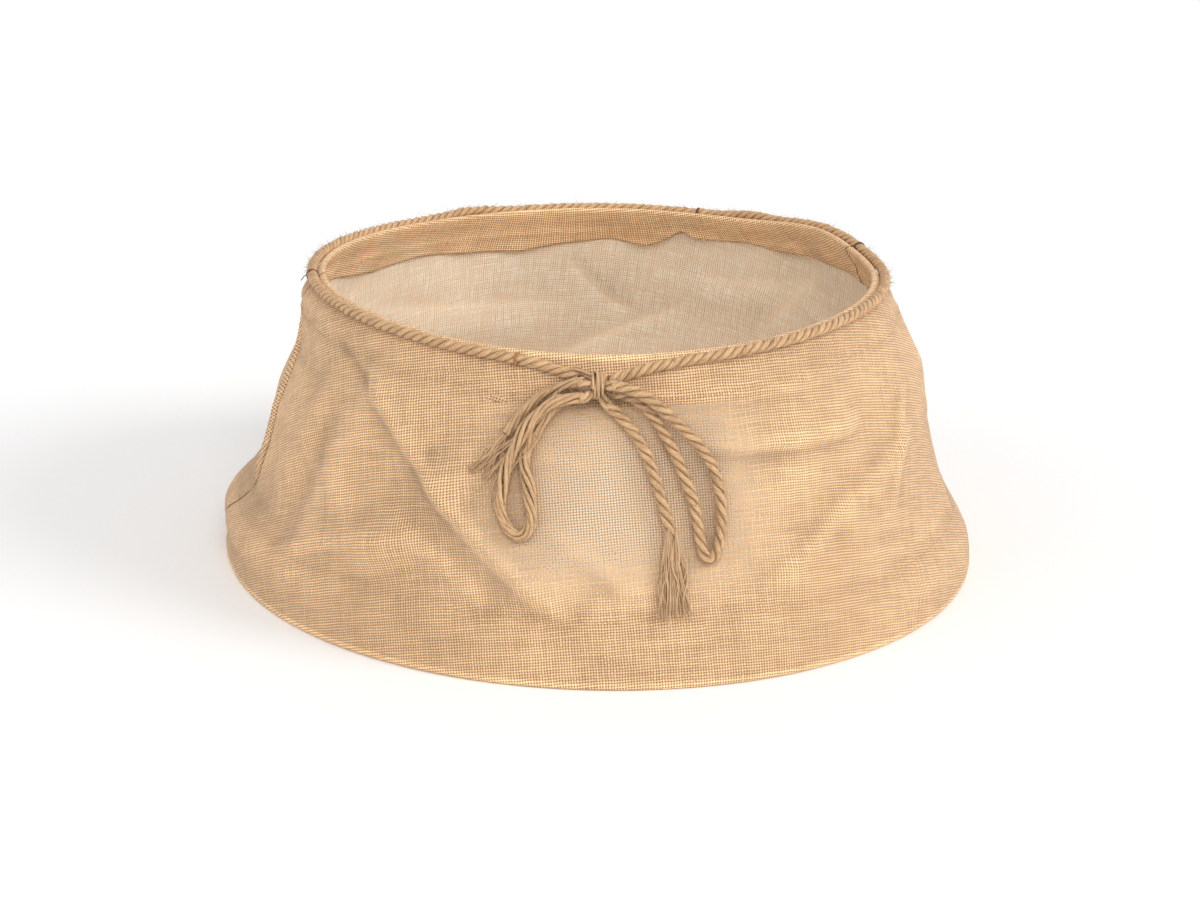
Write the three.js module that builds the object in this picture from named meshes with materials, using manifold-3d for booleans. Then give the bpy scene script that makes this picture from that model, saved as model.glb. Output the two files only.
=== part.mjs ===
// Burlap tree collar: a tapered ring of jute cloth that hides the stand of a Christmas tree.
// Two cloth panels are joined by two side seams. Their top and bottom edges are turned in and
// stitched round spring-steel hoops, and a jute rope is tied round the neck in a bow.
// Millimetres, +Z up. The origin is the middle of the bottom hem, on the floor, and the bow is at -Y.

import * as THREE from "three";
import { mergeVertices } from "three/addons/utils/BufferGeometryUtils.js";
import Module from "manifold-3d";

// ---- driving dimensions -------------------------------------------------------------------

const HEIGHT = 262; // floor to the top fold
const BASE_RADIUS = 350; // outside of the cloth at the floor
const TAPER = 0.367; // radius lost for each millimetre of height
const CLOTH = 1.6; // one thickness of jute cloth with its nap
const GAP = 0.3; // clearance between pieces that touch

const TOP_HEM = 40; // depth of the turned-in top edge
const BOTTOM_HEM = 60; // depth of the turned-in bottom edge
const POCKET_RADIUS = 3.8; // room for a hoop inside a hem's fold
const RIGHT_SEAM = 20; // azimuths of the side seams, degrees from +X
const LEFT_SEAM = 190;
const SEAM_WIDTH = 19; // pressed allowance inside each seam
const SEAM_THICKNESS = 2.4;

const HOOP_RADIUS = 2; // 4 mm spring wire
const FERRULE_BORE = 2.5;
const FERRULE_RADIUS = 3.3;
const FERRULE_LENGTH = 24;
const TOP_FERRULE_AT = 72;
const BOTTOM_FERRULE_AT = 36;

const ROPE_RADIUS = 4.75;
const NECK_STAND_OFF = ROPE_RADIUS + 0.8; // rope centre to the cloth's outside
const NECK_DROP = 3; // rope centre below the top fold
const BOW_DIP = 21; // how far the knot's weight pulls the rope down
const BOW_DIP_WIDTH = 6.5; // degrees either side of the knot
const BOW_AT = 269.7;

const KNOT = { x: -1.5, z: 236, standOff: 9.6, size: [10, 8.5, 13] };
const TACKS = { rope_tack_right: 20, rope_tack_back: 68, rope_tack_left: 190, rope_tack_front: 255 };
const TACK_WIDTH = 4;
const TACK_THICKNESS = 0.9;

const THREAD = 0.9; // thickness of the sewing thread
const THREAD_INSET = 6; // stitch row to the hem's raw edge

const RING_SEGMENTS = 60;
const ROPE_SIDES = 8;
const NECK_STEPS = 76;

// ---- materials ----------------------------------------------------------------------------

const burlap = () => new THREE.MeshStandardMaterial({ color: 0xd4ad7f, roughness: 0.95, metalness: 0 });
const jute = () => new THREE.MeshStandardMaterial({ color: 0xb8935f, roughness: 0.95, metalness: 0 });
const thread = () => new THREE.MeshStandardMaterial({ color: 0xa8804e, roughness: 0.8, metalness: 0 });
const steel = () => new THREE.MeshStandardMaterial({ color: 0xa9abac, roughness: 0.35, metalness: 1 });
const crimp = () => new THREE.MeshStandardMaterial({ color: 0xc4c6c8, roughness: 0.4, metalness: 1 });

// ---- solids -------------------------------------------------------------------------------

const wasm = await Module();
wasm.setup();

const object = new THREE.Group();

function add(name, geometry, material) {
  const mesh = new THREE.Mesh(geometry, material);
  mesh.name = name;
  object.add(mesh);
  return mesh;
}

function toSolid(geometry) {
  const bare = geometry.clone();
  bare.deleteAttribute("normal");
  bare.deleteAttribute("uv");
  const merged = mergeVertices(bare, 1e-4);
  return new wasm.Manifold(
    new wasm.Mesh({
      numProp: 3,
      vertProperties: new Float32Array(merged.attributes.position.array),
      triVerts: new Uint32Array(merged.index.array),
    }),
  );
}

function toGeometry(solid) {
  const mesh = solid.getMesh();
  const geometry = new THREE.BufferGeometry();
  geometry.setAttribute("position", new THREE.BufferAttribute(new Float32Array(mesh.vertProperties), 3));
  geometry.setIndex(new THREE.BufferAttribute(new Uint32Array(mesh.triVerts), 1));
  geometry.computeVertexNormals();
  return geometry;
}

// A full ring: a closed profile of [radius, height] points, anticlockwise, turned round Z.
function ring(profile) {
  const points = [...profile, profile[0]].map(([r, z]) => new THREE.Vector2(r, z));
  return new THREE.LatheGeometry(points, RING_SEGMENTS).rotateX(Math.PI / 2);
}

// A pie slice between two azimuths, tall and wide enough to cut any ring of this object.
function slice(from, to) {
  const reach = BASE_RADIUS * 1.3;
  const steps = Math.max(2, Math.ceil((to - from) / 10));
  const outline = [new THREE.Vector2(0, 0)];
  for (let i = 0; i <= steps; i += 1) {
    const angle = THREE.MathUtils.degToRad(from + ((to - from) * i) / steps);
    outline.push(new THREE.Vector2(reach * Math.cos(angle), reach * Math.sin(angle)));
  }
  const depth = HEIGHT * 1.4;
  return new THREE.ExtrudeGeometry(new THREE.Shape(outline), { depth, bevelEnabled: false })
    .translate(0, 0, -HEIGHT * 0.2);
}

function arc(profile, from, to) {
  return toGeometry(toSolid(ring(profile)).intersect(toSolid(slice(from, to))));
}

// ---- the cloth's cross-section ------------------------------------------------------------

const SLANT = Math.hypot(1, TAPER); // a thickness across the wall, measured level
const wall = (z) => BASE_RADIUS - TAPER * z;
const level = (thickness) => thickness * SLANT;
const facingOutside = (z) => wall(z) - level(CLOTH + GAP);
const facingInside = (z) => wall(z) - level(2 * CLOTH + GAP);

const FOLD_RADIUS = POCKET_RADIUS + CLOTH;
const TOP_HEM_Z = HEIGHT - TOP_HEM;
const TOP_HOOP = { z: HEIGHT - FOLD_RADIUS, r: wall(HEIGHT - FOLD_RADIUS) - level(FOLD_RADIUS) };
const BOTTOM_HOOP = { z: FOLD_RADIUS, r: wall(FOLD_RADIUS) - level(FOLD_RADIUS) };

function arcPoints(centre, radius, fromDegrees, toDegrees, steps) {
  const points = [];
  for (let i = 0; i <= steps; i += 1) {
    const angle = THREE.MathUtils.degToRad(fromDegrees + ((toDegrees - fromDegrees) * i) / steps);
    points.push([centre.r + radius * Math.cos(angle), centre.z + radius * Math.sin(angle)]);
  }
  return points;
}

// Up the outside, over the hoop, and down the facing on the inside.
function topHemProfile() {
  const lean = THREE.MathUtils.radToDeg(Math.atan(TAPER));
  const closes = TOP_HOOP.z - 18; // where the two layers come together under the hoop
  return [
    [wall(TOP_HEM_Z), TOP_HEM_Z],
    ...arcPoints(TOP_HOOP, FOLD_RADIUS, lean, 190, 6),
    [facingInside(closes), closes],
    [facingInside(TOP_HEM_Z), TOP_HEM_Z],
    [facingOutside(TOP_HEM_Z), TOP_HEM_Z],
    [facingOutside(closes), closes],
    ...arcPoints(TOP_HOOP, POCKET_RADIUS, 190, lean, 5),
    [wall(TOP_HEM_Z) - level(CLOTH), TOP_HEM_Z],
  ];
}

// Down the outside, under the hoop along the floor, and up the facing on the inside.
function bottomHemProfile() {
  const inner = BOTTOM_HOOP.r - FOLD_RADIUS;
  const closes = (BASE_RADIUS - inner - level(2 * CLOTH + GAP)) / TAPER;
  return [
    [BASE_RADIUS, 0],
    [wall(BOTTOM_HEM), BOTTOM_HEM],
    [wall(BOTTOM_HEM) - level(CLOTH), BOTTOM_HEM],
    [wall(CLOTH) - level(CLOTH), CLOTH],
    [inner + CLOTH, CLOTH],
    [inner + CLOTH, closes],
    [facingOutside(BOTTOM_HEM), BOTTOM_HEM],
    [facingInside(BOTTOM_HEM), BOTTOM_HEM],
    [inner, closes],
    [inner, 0],
  ];
}

// A straight strip of the wall between two heights, set in from the outside.
function stripProfile(low, high, inset, thickness) {
  return [
    [wall(low) - level(inset + thickness), low],
    [wall(low) - level(inset), low],
    [wall(high) - level(inset), high],
    [wall(high) - level(inset + thickness), high],
  ];
}

function roundProfile(centre, radius, sides) {
  return arcPoints(centre, radius, 0, 360 - 360 / sides, sides - 1);
}

// ---- cloth: two panels, their hems and the seam allowances ---------------------------------

const CUT = THREE.MathUtils.radToDeg(GAP / 2 / TOP_HOOP.r); // half the gap in a seam
const PANELS = {
  front: [LEFT_SEAM + CUT, RIGHT_SEAM + 360 - CUT],
  back: [RIGHT_SEAM + CUT, LEFT_SEAM - CUT],
};
const PANEL_LOW = BOTTOM_HEM + GAP;
const PANEL_HIGH = TOP_HEM_Z - GAP;

for (const [side, [from, to]] of Object.entries(PANELS)) {
  add(`${side}_panel`, arc(stripProfile(PANEL_LOW, PANEL_HIGH, 0, CLOTH), from, to), burlap());
  add(`${side}_top_hem`, arc(topHemProfile(), from, to), burlap());
  add(`${side}_bottom_hem`, arc(bottomHemProfile(), from, to), burlap());
}

const SEAMS = { left: LEFT_SEAM, right: RIGHT_SEAM };
const SEAM_ENDS = 1.5; // the allowance stops this far short of each hem
for (const [side, azimuth] of Object.entries(SEAMS)) {
  const half = THREE.MathUtils.radToDeg(SEAM_WIDTH / 2 / wall(HEIGHT / 2));
  const strip = stripProfile(BOTTOM_HEM + SEAM_ENDS, TOP_HEM_Z - SEAM_ENDS, CLOTH + GAP, SEAM_THICKNESS);
  add(`${side}_seam_allowance`, arc(strip, azimuth - half, azimuth + half), burlap());
}

// ---- sewing thread: one row round each hem and one down each seam ---------------------------

function threadRing(z) {
  const inside = { r: facingInside(z) - GAP - THREAD, z };
  return ring(roundProfile(inside, THREAD / 2, 4));
}

add("top_hem_thread", threadRing(TOP_HEM_Z + THREAD_INSET), thread());
add("bottom_hem_thread", threadRing(BOTTOM_HEM - THREAD_INSET), thread());

function polygon(radius, sides) {
  const points = [];
  for (let i = 0; i < sides; i += 1) {
    const angle = ((i + 0.5) * 2 * Math.PI) / sides;
    points.push(new THREE.Vector2(radius * Math.cos(angle), radius * Math.sin(angle)));
  }
  return new THREE.Shape(points);
}

function tube(path, radius, sides, steps) {
  return new THREE.ExtrudeGeometry(polygon(radius, sides), { steps, extrudePath: path, bevelEnabled: false });
}

function onWall(azimuth, z, standOff) {
  const angle = THREE.MathUtils.degToRad(azimuth);
  const radius = wall(z) + standOff;
  return new THREE.Vector3(radius * Math.cos(angle), radius * Math.sin(angle), z);
}

for (const [side, azimuth] of Object.entries(SEAMS)) {
  const inside = -level(CLOTH + 2 * GAP + SEAM_THICKNESS + THREAD);
  const row = new THREE.LineCurve3(
    onWall(azimuth, BOTTOM_HEM + SEAM_ENDS, inside),
    onWall(azimuth, TOP_HEM_Z - SEAM_ENDS, inside),
  );
  add(`${side}_seam_thread`, tube(row, THREAD / 2, 4, 1), thread());
}

// ---- hoops, each closed by a crimped ferrule -----------------------------------------------

function hoop(name, centre, ferruleAt) {
  add(name, ring(roundProfile(centre, HOOP_RADIUS, 6)), steel());
  const half = THREE.MathUtils.radToDeg(FERRULE_LENGTH / 2 / centre.r);
  const sleeve = toSolid(ring(roundProfile(centre, FERRULE_RADIUS, 10)))
    .subtract(toSolid(ring(roundProfile(centre, FERRULE_BORE, 10))))
    .intersect(toSolid(slice(ferruleAt - half, ferruleAt + half)));
  add(`${name}_ferrule`, toGeometry(sleeve), crimp());
}

hoop("top_hoop", TOP_HOOP, TOP_FERRULE_AT);
hoop("bottom_hoop", BOTTOM_HOOP, BOTTOM_FERRULE_AT);

// ---- neck rope ----------------------------------------------------------------------------

// The rope lies just under the top fold and dips towards the knot that hangs on it.
function neckHeight(azimuth) {
  const away = THREE.MathUtils.euclideanModulo(azimuth - BOW_AT + 180, 360) - 180;
  return HEIGHT - NECK_DROP - BOW_DIP / (1 + (away / BOW_DIP_WIDTH) ** 2);
}

const neckPoint = (azimuth) => onWall(azimuth, neckHeight(azimuth), NECK_STAND_OFF);

class NeckLine extends THREE.Curve {
  getPoint(t, target = new THREE.Vector3()) {
    const clear = THREE.MathUtils.radToDeg((KNOT.size[0] + 2 * GAP) / wall(KNOT.z));
    return target.copy(neckPoint(BOW_AT + clear + t * (360 - 2 * clear)));
  }
}

add("neck_rope", tube(new NeckLine(), ROPE_RADIUS, ROPE_SIDES, NECK_STEPS), jute());

// ---- thread tacks that hold the rope to the hem ---------------------------------------------

function tackShape() {
  const inner = ROPE_RADIUS + 0.45;
  const reach = 100; // degrees round the rope either side of straight out
  const outline = [
    ...arcPoints({ r: 0, z: 0 }, inner + TACK_THICKNESS, -reach, reach, 8),
    ...arcPoints({ r: 0, z: 0 }, inner, reach, -reach, 8),
  ];
  return new THREE.Shape(outline.map(([r, z]) => new THREE.Vector2(r, z)));
}

for (const [name, azimuth] of Object.entries(TACKS)) {
  const band = new THREE.ExtrudeGeometry(tackShape(), { depth: TACK_WIDTH, bevelEnabled: false })
    .translate(0, 0, -TACK_WIDTH / 2)
    .rotateX(Math.PI / 2);
  const tack = add(name, band, thread());
  tack.position.copy(neckPoint(azimuth));
  tack.rotation.z = THREE.MathUtils.degToRad(azimuth);
}

// ---- bow: a knot, two loops and two tails with frayed ends -----------------------------------

// A point on the front of the collar: x, height, and distance out from the cloth.
function front(x, z, standOff) {
  const radius = wall(z) + standOff;
  return new THREE.Vector3(x, -Math.sqrt(radius * radius - x * x), z);
}

const knot = add("bow_knot", new THREE.SphereGeometry(1, 12, 8), jute());
knot.position.copy(front(KNOT.x, KNOT.z, KNOT.standOff));
knot.scale.set(...KNOT.size);

const BOW_ROPES = {
  left_loop: [
    [-12.8, 228.5, 15.6], [-24, 227.5, 17.5], [-40, 222.5, 16.8], [-52, 212.5, 16.4], [-59, 202.5, 15.4],
    [-64, 193, 12.4], [-69, 182.5, 9], [-73, 171, 7.6], [-76.5, 158, 7.5], [-78.5, 146, 7.5],
    [-76.5, 134, 7.5], [-69.5, 124.5, 7.5], [-61, 121.5, 7.5], [-52.8, 126, 7.5], [-49, 137, 7.5],
    [-50.5, 149, 7.5], [-54.5, 161, 7.5], [-58, 173, 7.5], [-56.5, 187, 7.5], [-51.5, 199, 7.5],
    [-44.5, 209, 7.4], [-35.5, 217.5, 7], [-24, 224.5, 6], [-12.8, 228.5, 5.3],
  ],
  right_loop: [
    [9.8, 238.5, 16.6], [21, 236.5, 17], [36, 230.5, 16.6], [49.5, 221, 16], [62, 209.5, 14],
    [74, 198.3, 11], [84, 186.8, 8.5], [92.5, 174, 7.6], [98, 160, 7.5], [100.5, 146, 7.5],
    [101.2, 132, 7.5], [100.2, 120, 7.5], [96.5, 111, 7.5], [90.5, 107.5, 7.5], [84.5, 111, 7.5],
    [80.8, 120, 7.5], [79.5, 133, 7.5], [77, 146, 7.5], [73, 159, 7.5], [68, 171.5, 7.5],
    [61.5, 185, 7.5], [54, 198, 7.5], [45.5, 210, 7.5], [36, 220, 7.3], [23.5, 227.5, 6.6],
    [9.8, 229.5, 5.4],
  ],
  left_tail: [
    [-12.8, 239, 16.5], [-24, 237, 13], [-35.5, 232.5, 9], [-49.5, 225, 7.5], [-60.5, 214.5, 7.5],
    [-68.5, 205, 7.5], [-75.5, 196, 7.5],
  ],
  right_tail: [
    [6, 221.2, 8.5], [13.5, 215.5, 8], [21, 208.5, 7.5], [28, 201, 7.5], [34.5, 191.5, 7.5],
    [40, 181.5, 7.5], [44.5, 170.5, 7.5], [49, 158.5, 7.5], [53.2, 145.5, 7.5], [57.5, 133, 7.5],
    [61, 121, 7.5],
  ],
};
const STEP_LENGTH = 9; // along a bow rope, about one diameter, so that its bends stay round

for (const [name, route] of Object.entries(BOW_ROPES)) {
  const path = new THREE.CatmullRomCurve3(route.map((point) => front(...point)), false, "centripetal");
  add(name, tube(path, ROPE_RADIUS, ROPE_SIDES, Math.round(path.getLength() / STEP_LENGTH)), jute());
}

// A frayed end spreads from the rope's width to a flat brush that lies on the cloth.
function frayedEnd(name, from, to, spread) {
  const start = front(...from);
  const end = front(...to);
  const along = end.clone().sub(start);
  const length = along.length();
  along.normalize();
  const outward = new THREE.Vector3(start.x, start.y, TAPER * BASE_RADIUS).normalize();
  const side = new THREE.Vector3().crossVectors(outward, along).normalize();
  const depthwise = new THREE.Vector3().crossVectors(along, side);
  const flatness = 0.42; // the brush is this much of its width in depth
  const brush = new THREE.CylinderGeometry(ROPE_RADIUS, spread, length - 2 * GAP, ROPE_SIDES);
  brush.translate(0, -length / 2, 0).scale(1, -1, flatness);
  brush.setIndex([...brush.index.array].reverse());
  const mesh = add(name, brush, jute());
  mesh.quaternion.setFromRotationMatrix(new THREE.Matrix4().makeBasis(side, along, depthwise.negate()));
  mesh.position.copy(start);
}

frayedEnd("left_tail_fray", [-76, 195.4, 7.5], [-100, 163, 7.5], 11);
frayedEnd("right_tail_fray", [61.2, 120.2, 7.5], [66, 55, 7.5], 13);

export default object;
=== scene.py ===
"""Burlap tree collar with a jute rope bow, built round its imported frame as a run-once add-on.

The collar is two panels of burlap, each one continuous shell of cloth from its turned-in bottom
edge, up the buckled wall, over the top hoop and down to the raw edge of the inside facing. Ropes,
stitches, hairs and frayed yarns are tubes carried along paths. Metres, +Z up, the bow at -Y.
"""

import math

import bpy
import numpy as np
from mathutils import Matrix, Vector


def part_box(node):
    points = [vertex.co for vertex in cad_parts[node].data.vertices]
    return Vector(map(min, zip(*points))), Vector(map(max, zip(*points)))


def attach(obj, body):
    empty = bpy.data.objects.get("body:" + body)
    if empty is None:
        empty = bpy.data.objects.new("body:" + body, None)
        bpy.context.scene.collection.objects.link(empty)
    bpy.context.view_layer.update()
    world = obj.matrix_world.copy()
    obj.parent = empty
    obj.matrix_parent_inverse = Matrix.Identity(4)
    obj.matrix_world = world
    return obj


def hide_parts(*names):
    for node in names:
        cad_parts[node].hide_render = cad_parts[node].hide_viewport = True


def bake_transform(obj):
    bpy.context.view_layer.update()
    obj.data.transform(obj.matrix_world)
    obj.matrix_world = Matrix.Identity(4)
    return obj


bl_info = {
    "name": "Burlap Tree Collar",
    "version": (1, 0, 0),
    "blender": (4, 5, 0),
    "location": "View3D > Sidebar > Collar",
    "description": "Makes a burlap tree collar with a jute rope bow round its packed frame",
    "category": "Object",
}

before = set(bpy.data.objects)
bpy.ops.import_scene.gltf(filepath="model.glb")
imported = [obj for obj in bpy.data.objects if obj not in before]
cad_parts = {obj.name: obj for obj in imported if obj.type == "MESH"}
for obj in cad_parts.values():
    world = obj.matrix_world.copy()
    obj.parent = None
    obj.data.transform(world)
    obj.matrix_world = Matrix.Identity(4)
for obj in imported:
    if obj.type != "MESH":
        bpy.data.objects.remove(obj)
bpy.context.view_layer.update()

# ---- the collar's own sizes, from the frame where the frame has them ------------------------

BASE_RADIUS = -float(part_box("front_bottom_hem")[0][1])
HEIGHT = float(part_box("front_top_hem")[1][2])
TAPER = 0.367  # radius lost for each metre of height
CONE_SINE = TAPER / math.hypot(1.0, TAPER)
BOTTOM_HEM = float(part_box("front_bottom_hem")[1][2])
TOP_HEM_EDGE = float(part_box("front_top_hem")[0][2])
FOLD_RADIUS = 0.0048  # middle of the cloth round the bottom hoop
CREST_RADIUS = 0.0030  # and round the top hoop
FOOT = FOLD_RADIUS + 0.0008  # height of the bottom hoop's middle
CREST = HEIGHT - CREST_RADIUS - 0.0006  # height of the top hoop's middle
FACING_DEPTH = 0.0034  # middle of the wall to the middle of the turned-in cloth
CASING_LINE = 0.2345  # the pinched line of stitches under the top hoop
HOOP_WIRE = 0.002  # radius
ROPE_STAND_OFF = 0.00555  # rope's middle from the wall
BOW_AT = 269.7  # azimuth of the knot
KNOT_CENTRE = np.array([-0.0015, -0.2725, 0.2355])

# Between these two heights the cloth takes on more and more of the rim's lift and shift.
BLEND_START = (0.0, 0.0, BOTTOM_HEM)
BLEND_END = (0.0, 0.0, TOP_HEM_EDGE)

# Height and azimuth of the two side seams. The left one wanders where the cloth is slack.
LEFT_SEAM = [(0.0, 184.0), (0.012, 185.0), (0.034, 189.0), (0.05, 192.0), (0.08, 193.2), (0.115, 195.0),
             (0.166, 193.0), (0.19, 190.3), (0.262, 190.0)]
RIGHT_SEAM = [(0.0, 20.0), (0.06, 21.5), (0.14, 18.6), (0.20, 20.4), (0.262, 20.0)]

# Height and swell, in metres, of the wall outside its plain cone at four places round the collar.
FRONT_SWELL = [(0.0, 0.0020), (0.015, 0.0025), (0.04, 0.0032), (0.06, 0.002), (0.10, 0.002), (0.15, 0.002),
               (0.20, 0.0012), (0.235, 0.0), (0.255, 0.0)]
LEFT_SWELL = [(0.0, -0.0005), (0.008, 0.0), (0.02, 0.0040), (0.032, 0.0110), (0.044, 0.0150),
              (0.055, 0.0050), (0.067, -0.0035), (0.08, -0.0055), (0.10, -0.0040), (0.124, -0.0025),
              (0.147, -0.0010), (0.17, -0.0045), (0.192, -0.0080), (0.204, -0.0055), (0.215, -0.0015),
              (0.226, 0.002), (0.24, 0.0072), (0.247, 0.0058), (0.256, 0.0)]
RIGHT_SWELL = [(0.003, 0.0025), (0.015, 0.0060), (0.027, 0.0078), (0.038, 0.0058), (0.05, 0.0018),
               (0.06, -0.0005), (0.083, -0.0012), (0.106, 0.0), (0.117, 0.0015), (0.14, 0.0045),
               (0.163, 0.0082), (0.185, 0.0095), (0.207, 0.0095), (0.229, 0.0085), (0.24, 0.007),
               (0.25, 0.003), (0.257, 0.0)]
BACK_SWELL = [(0.0, 0.0018), (0.015, 0.004), (0.04, 0.005), (0.07, -0.003), (0.12, -0.004),
              (0.18, -0.002), (0.22, 0.002), (0.255, 0.0)]

# Folds in the slack cloth: start and end (azimuth, height), how far the line bows to its left,
# rise, and how wide the cloth falls away on the left and on the right of the line.
CREASES = [
    # the long fold from the left of the neck down to the middle of the base
    ((226.5, 0.216), (247.0, 0.140), 0.002, 0.0120, 0.034, 0.0100),
    ((243.5, 0.154), (264.5, 0.063), 0.000, 0.0185, 0.050, 0.0130),
    ((236.0, 0.118), (254.0, 0.066), 0.004, 0.0068, 0.016, 0.0240),
    ((216.0, 0.056), (240.0, 0.100), 0.006, 0.0070, 0.022, 0.0150),
    ((200.0, 0.205), (219.0, 0.110), -0.006, 0.0030, 0.024, 0.0300),
    ((214.0, 0.232), (226.0, 0.205), 0.000, -0.0037, 0.010, 0.0120),
    # soft folds under and right of the bow
    ((263.0, 0.128), (277.5, 0.066), 0.003, 0.0051, 0.030, 0.0090),
    ((254.0, 0.190), (268.0, 0.176), 0.000, 0.0024, 0.012, 0.0080),
    ((286.5, 0.190), (319.0, 0.181), -0.003, 0.0088, 0.034, 0.0062),
    ((279.0, 0.2315), (319.0, 0.2250), -0.003, 0.0031, 0.012, 0.0040),
    ((337.0, 0.160), (312.0, 0.118), 0.000, 0.0078, 0.040, 0.0110),
    ((314.0, 0.126), (298.0, 0.078), 0.003, 0.0058, 0.032, 0.0100),
    ((338.5, 0.184), (323.0, 0.104), -0.006, 0.0027, 0.004, 0.0040),
    ((296.0, 0.120), (330.0, 0.070), 0.000, -0.0034, 0.024, 0.0240),
    # right side and back
    ((352.0, 0.205), (8.0, 0.110), 0.004, 0.0060, 0.030, 0.0120),
    ((8.0, 0.060), (40.0, 0.165), 0.006, 0.0070, 0.030, 0.0160),
    ((40.0, 0.212), (64.0, 0.090), 0.006, 0.0055, 0.036, 0.0140),
    ((97.0, 0.204), (85.0, 0.140), 0.005, 0.0064, 0.012, 0.0060),
    ((70.0, 0.190), (46.0, 0.196), 0.004, 0.0022, 0.020, 0.0100),
    ((140.0, 0.168), (100.0, 0.152), 0.004, 0.0030, 0.014, 0.0240),
    ((74.0, 0.150), (104.0, 0.064), 0.004, 0.0080, 0.045, 0.0150),
    ((108.0, 0.060), (140.0, 0.150), -0.005, 0.0065, 0.018, 0.0400),
    ((146.0, 0.214), (168.0, 0.110), 0.004, 0.0040, 0.030, 0.0130),
]

# Soft pillows and hollows: azimuth, height, half length, half width, lean in degrees, rise.
PILLOWS = [
    (237.0, 0.088, 0.034, 0.020, 24.0, 0.0078),
    (212.0, 0.095, 0.044, 0.028, 65.0, -0.0060),
    (216.0, 0.140, 0.040, 0.020, 78.0, -0.0078),
    (214.0, 0.180, 0.028, 0.018, 60.0, 0.0042),
    (225.0, 0.122, 0.026, 0.016, -50.0, 0.0054),
    (303.0, 0.152, 0.050, 0.024, 0.0, 0.0033),
    (318.0, 0.095, 0.050, 0.026, 20.0, 0.0039),
    (275.0, 0.105, 0.040, 0.040, 0.0, 0.0009),
    (30.0, 0.120, 0.050, 0.036, 30.0, -0.0075),
    (60.0, 0.165, 0.060, 0.024, 0.0, -0.0051),
    (110.0, 0.120, 0.070, 0.028, 0.0, -0.0054),
    (150.0, 0.115, 0.050, 0.036, -20.0, -0.0069),
    (163.0, 0.058, 0.034, 0.020, 0.0, -0.0070),
]

# Azimuth and height of the raw edge of the top facing, seen inside the neck.
FACING_EDGE = [(0.0, 0.223), (20.0, 0.224), (30.0, 0.224), (40.0, 0.227), (50.0, 0.229), (57.0, 0.2355),
               (62.0, 0.2335), (69.0, 0.233), (72.0, 0.2415), (75.5, 0.230), (80.0, 0.220), (88.0, 0.226),
               (100.0, 0.221), (109.0, 0.215), (125.0, 0.220), (134.0, 0.223), (146.0, 0.216),
               (170.0, 0.228), (190.0, 0.2225), (240.0, 0.221), (300.0, 0.2225), (360.0, 0.223)]

# Routes of the bow's ropes as x, height and stand-off of the rope's middle from the plain wall.
LEFT_LOOP = [(-0.0128, 0.2285, 0.0156), (-0.024, 0.2275, 0.0175), (-0.04, 0.2225, 0.0168),
             (-0.052, 0.2125, 0.0164), (-0.059, 0.2025, 0.0154), (-0.064, 0.193, 0.0124),
             (-0.069, 0.1825, 0.009), (-0.073, 0.171, 0.0076), (-0.0765, 0.158, 0.0075),
             (-0.078, 0.146, 0.0075), (-0.0755, 0.133, 0.0075), (-0.0695, 0.1235, 0.0075),
             (-0.0625, 0.1205, 0.0075), (-0.0558, 0.1245, 0.0075), (-0.0525, 0.135, 0.0075),
             (-0.0535, 0.148, 0.0075), (-0.0565, 0.161, 0.0075), (-0.0590, 0.173, 0.0075),
             (-0.0565, 0.187, 0.0075), (-0.0515, 0.199, 0.0075), (-0.0445, 0.209, 0.0074),
             (-0.0355, 0.2175, 0.007), (-0.024, 0.2245, 0.006), (-0.0128, 0.2285, 0.0053)]
RIGHT_LOOP = [(0.0098, 0.2385, 0.0166), (0.021, 0.2365, 0.017), (0.036, 0.2305, 0.0166),
              (0.0495, 0.221, 0.016), (0.062, 0.2095, 0.014), (0.074, 0.1983, 0.011),
              (0.084, 0.1868, 0.0085), (0.0925, 0.174, 0.0076), (0.098, 0.16, 0.0075),
              (0.1008, 0.146, 0.0075), (0.1018, 0.132, 0.0075), (0.1014, 0.119, 0.0075),
              (0.0985, 0.107, 0.0075), (0.0935, 0.1005, 0.0075), (0.0885, 0.105, 0.0075),
              (0.0850, 0.116, 0.0075), (0.0820, 0.131, 0.0075), (0.0785, 0.146, 0.0075),
              (0.073, 0.159, 0.0075), (0.068, 0.1715, 0.0075), (0.0615, 0.185, 0.0075),
              (0.054, 0.198, 0.0075), (0.0455, 0.21, 0.0075), (0.036, 0.22, 0.0073),
              (0.0235, 0.2275, 0.0066), (0.0098, 0.2295, 0.0054)]
LEFT_TAIL = [(-0.0128, 0.239, 0.0165), (-0.024, 0.237, 0.013), (-0.0355, 0.2325, 0.009),
             (-0.0495, 0.225, 0.0075), (-0.0605, 0.2145, 0.0075), (-0.0685, 0.205, 0.0075),
             (-0.0755, 0.196, 0.0075)]
RIGHT_TAIL = [(0.006, 0.2212, 0.0085), (0.0135, 0.2155, 0.008), (0.021, 0.2085, 0.0075),
              (0.028, 0.201, 0.0075), (0.0345, 0.1915, 0.0075), (0.04, 0.1815, 0.0075),
              (0.0445, 0.1705, 0.0075), (0.049, 0.1585, 0.0075), (0.0532, 0.1455, 0.0075),
              (0.0575, 0.133, 0.0075), (0.061, 0.121, 0.0075)]
LEFT_LOOP_LENGTH = 0.295
RIGHT_LOOP_LENGTH = 0.35
LEFT_TAIL_LENGTH = 0.08
RIGHT_TAIL_LENGTH = 0.117

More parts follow.
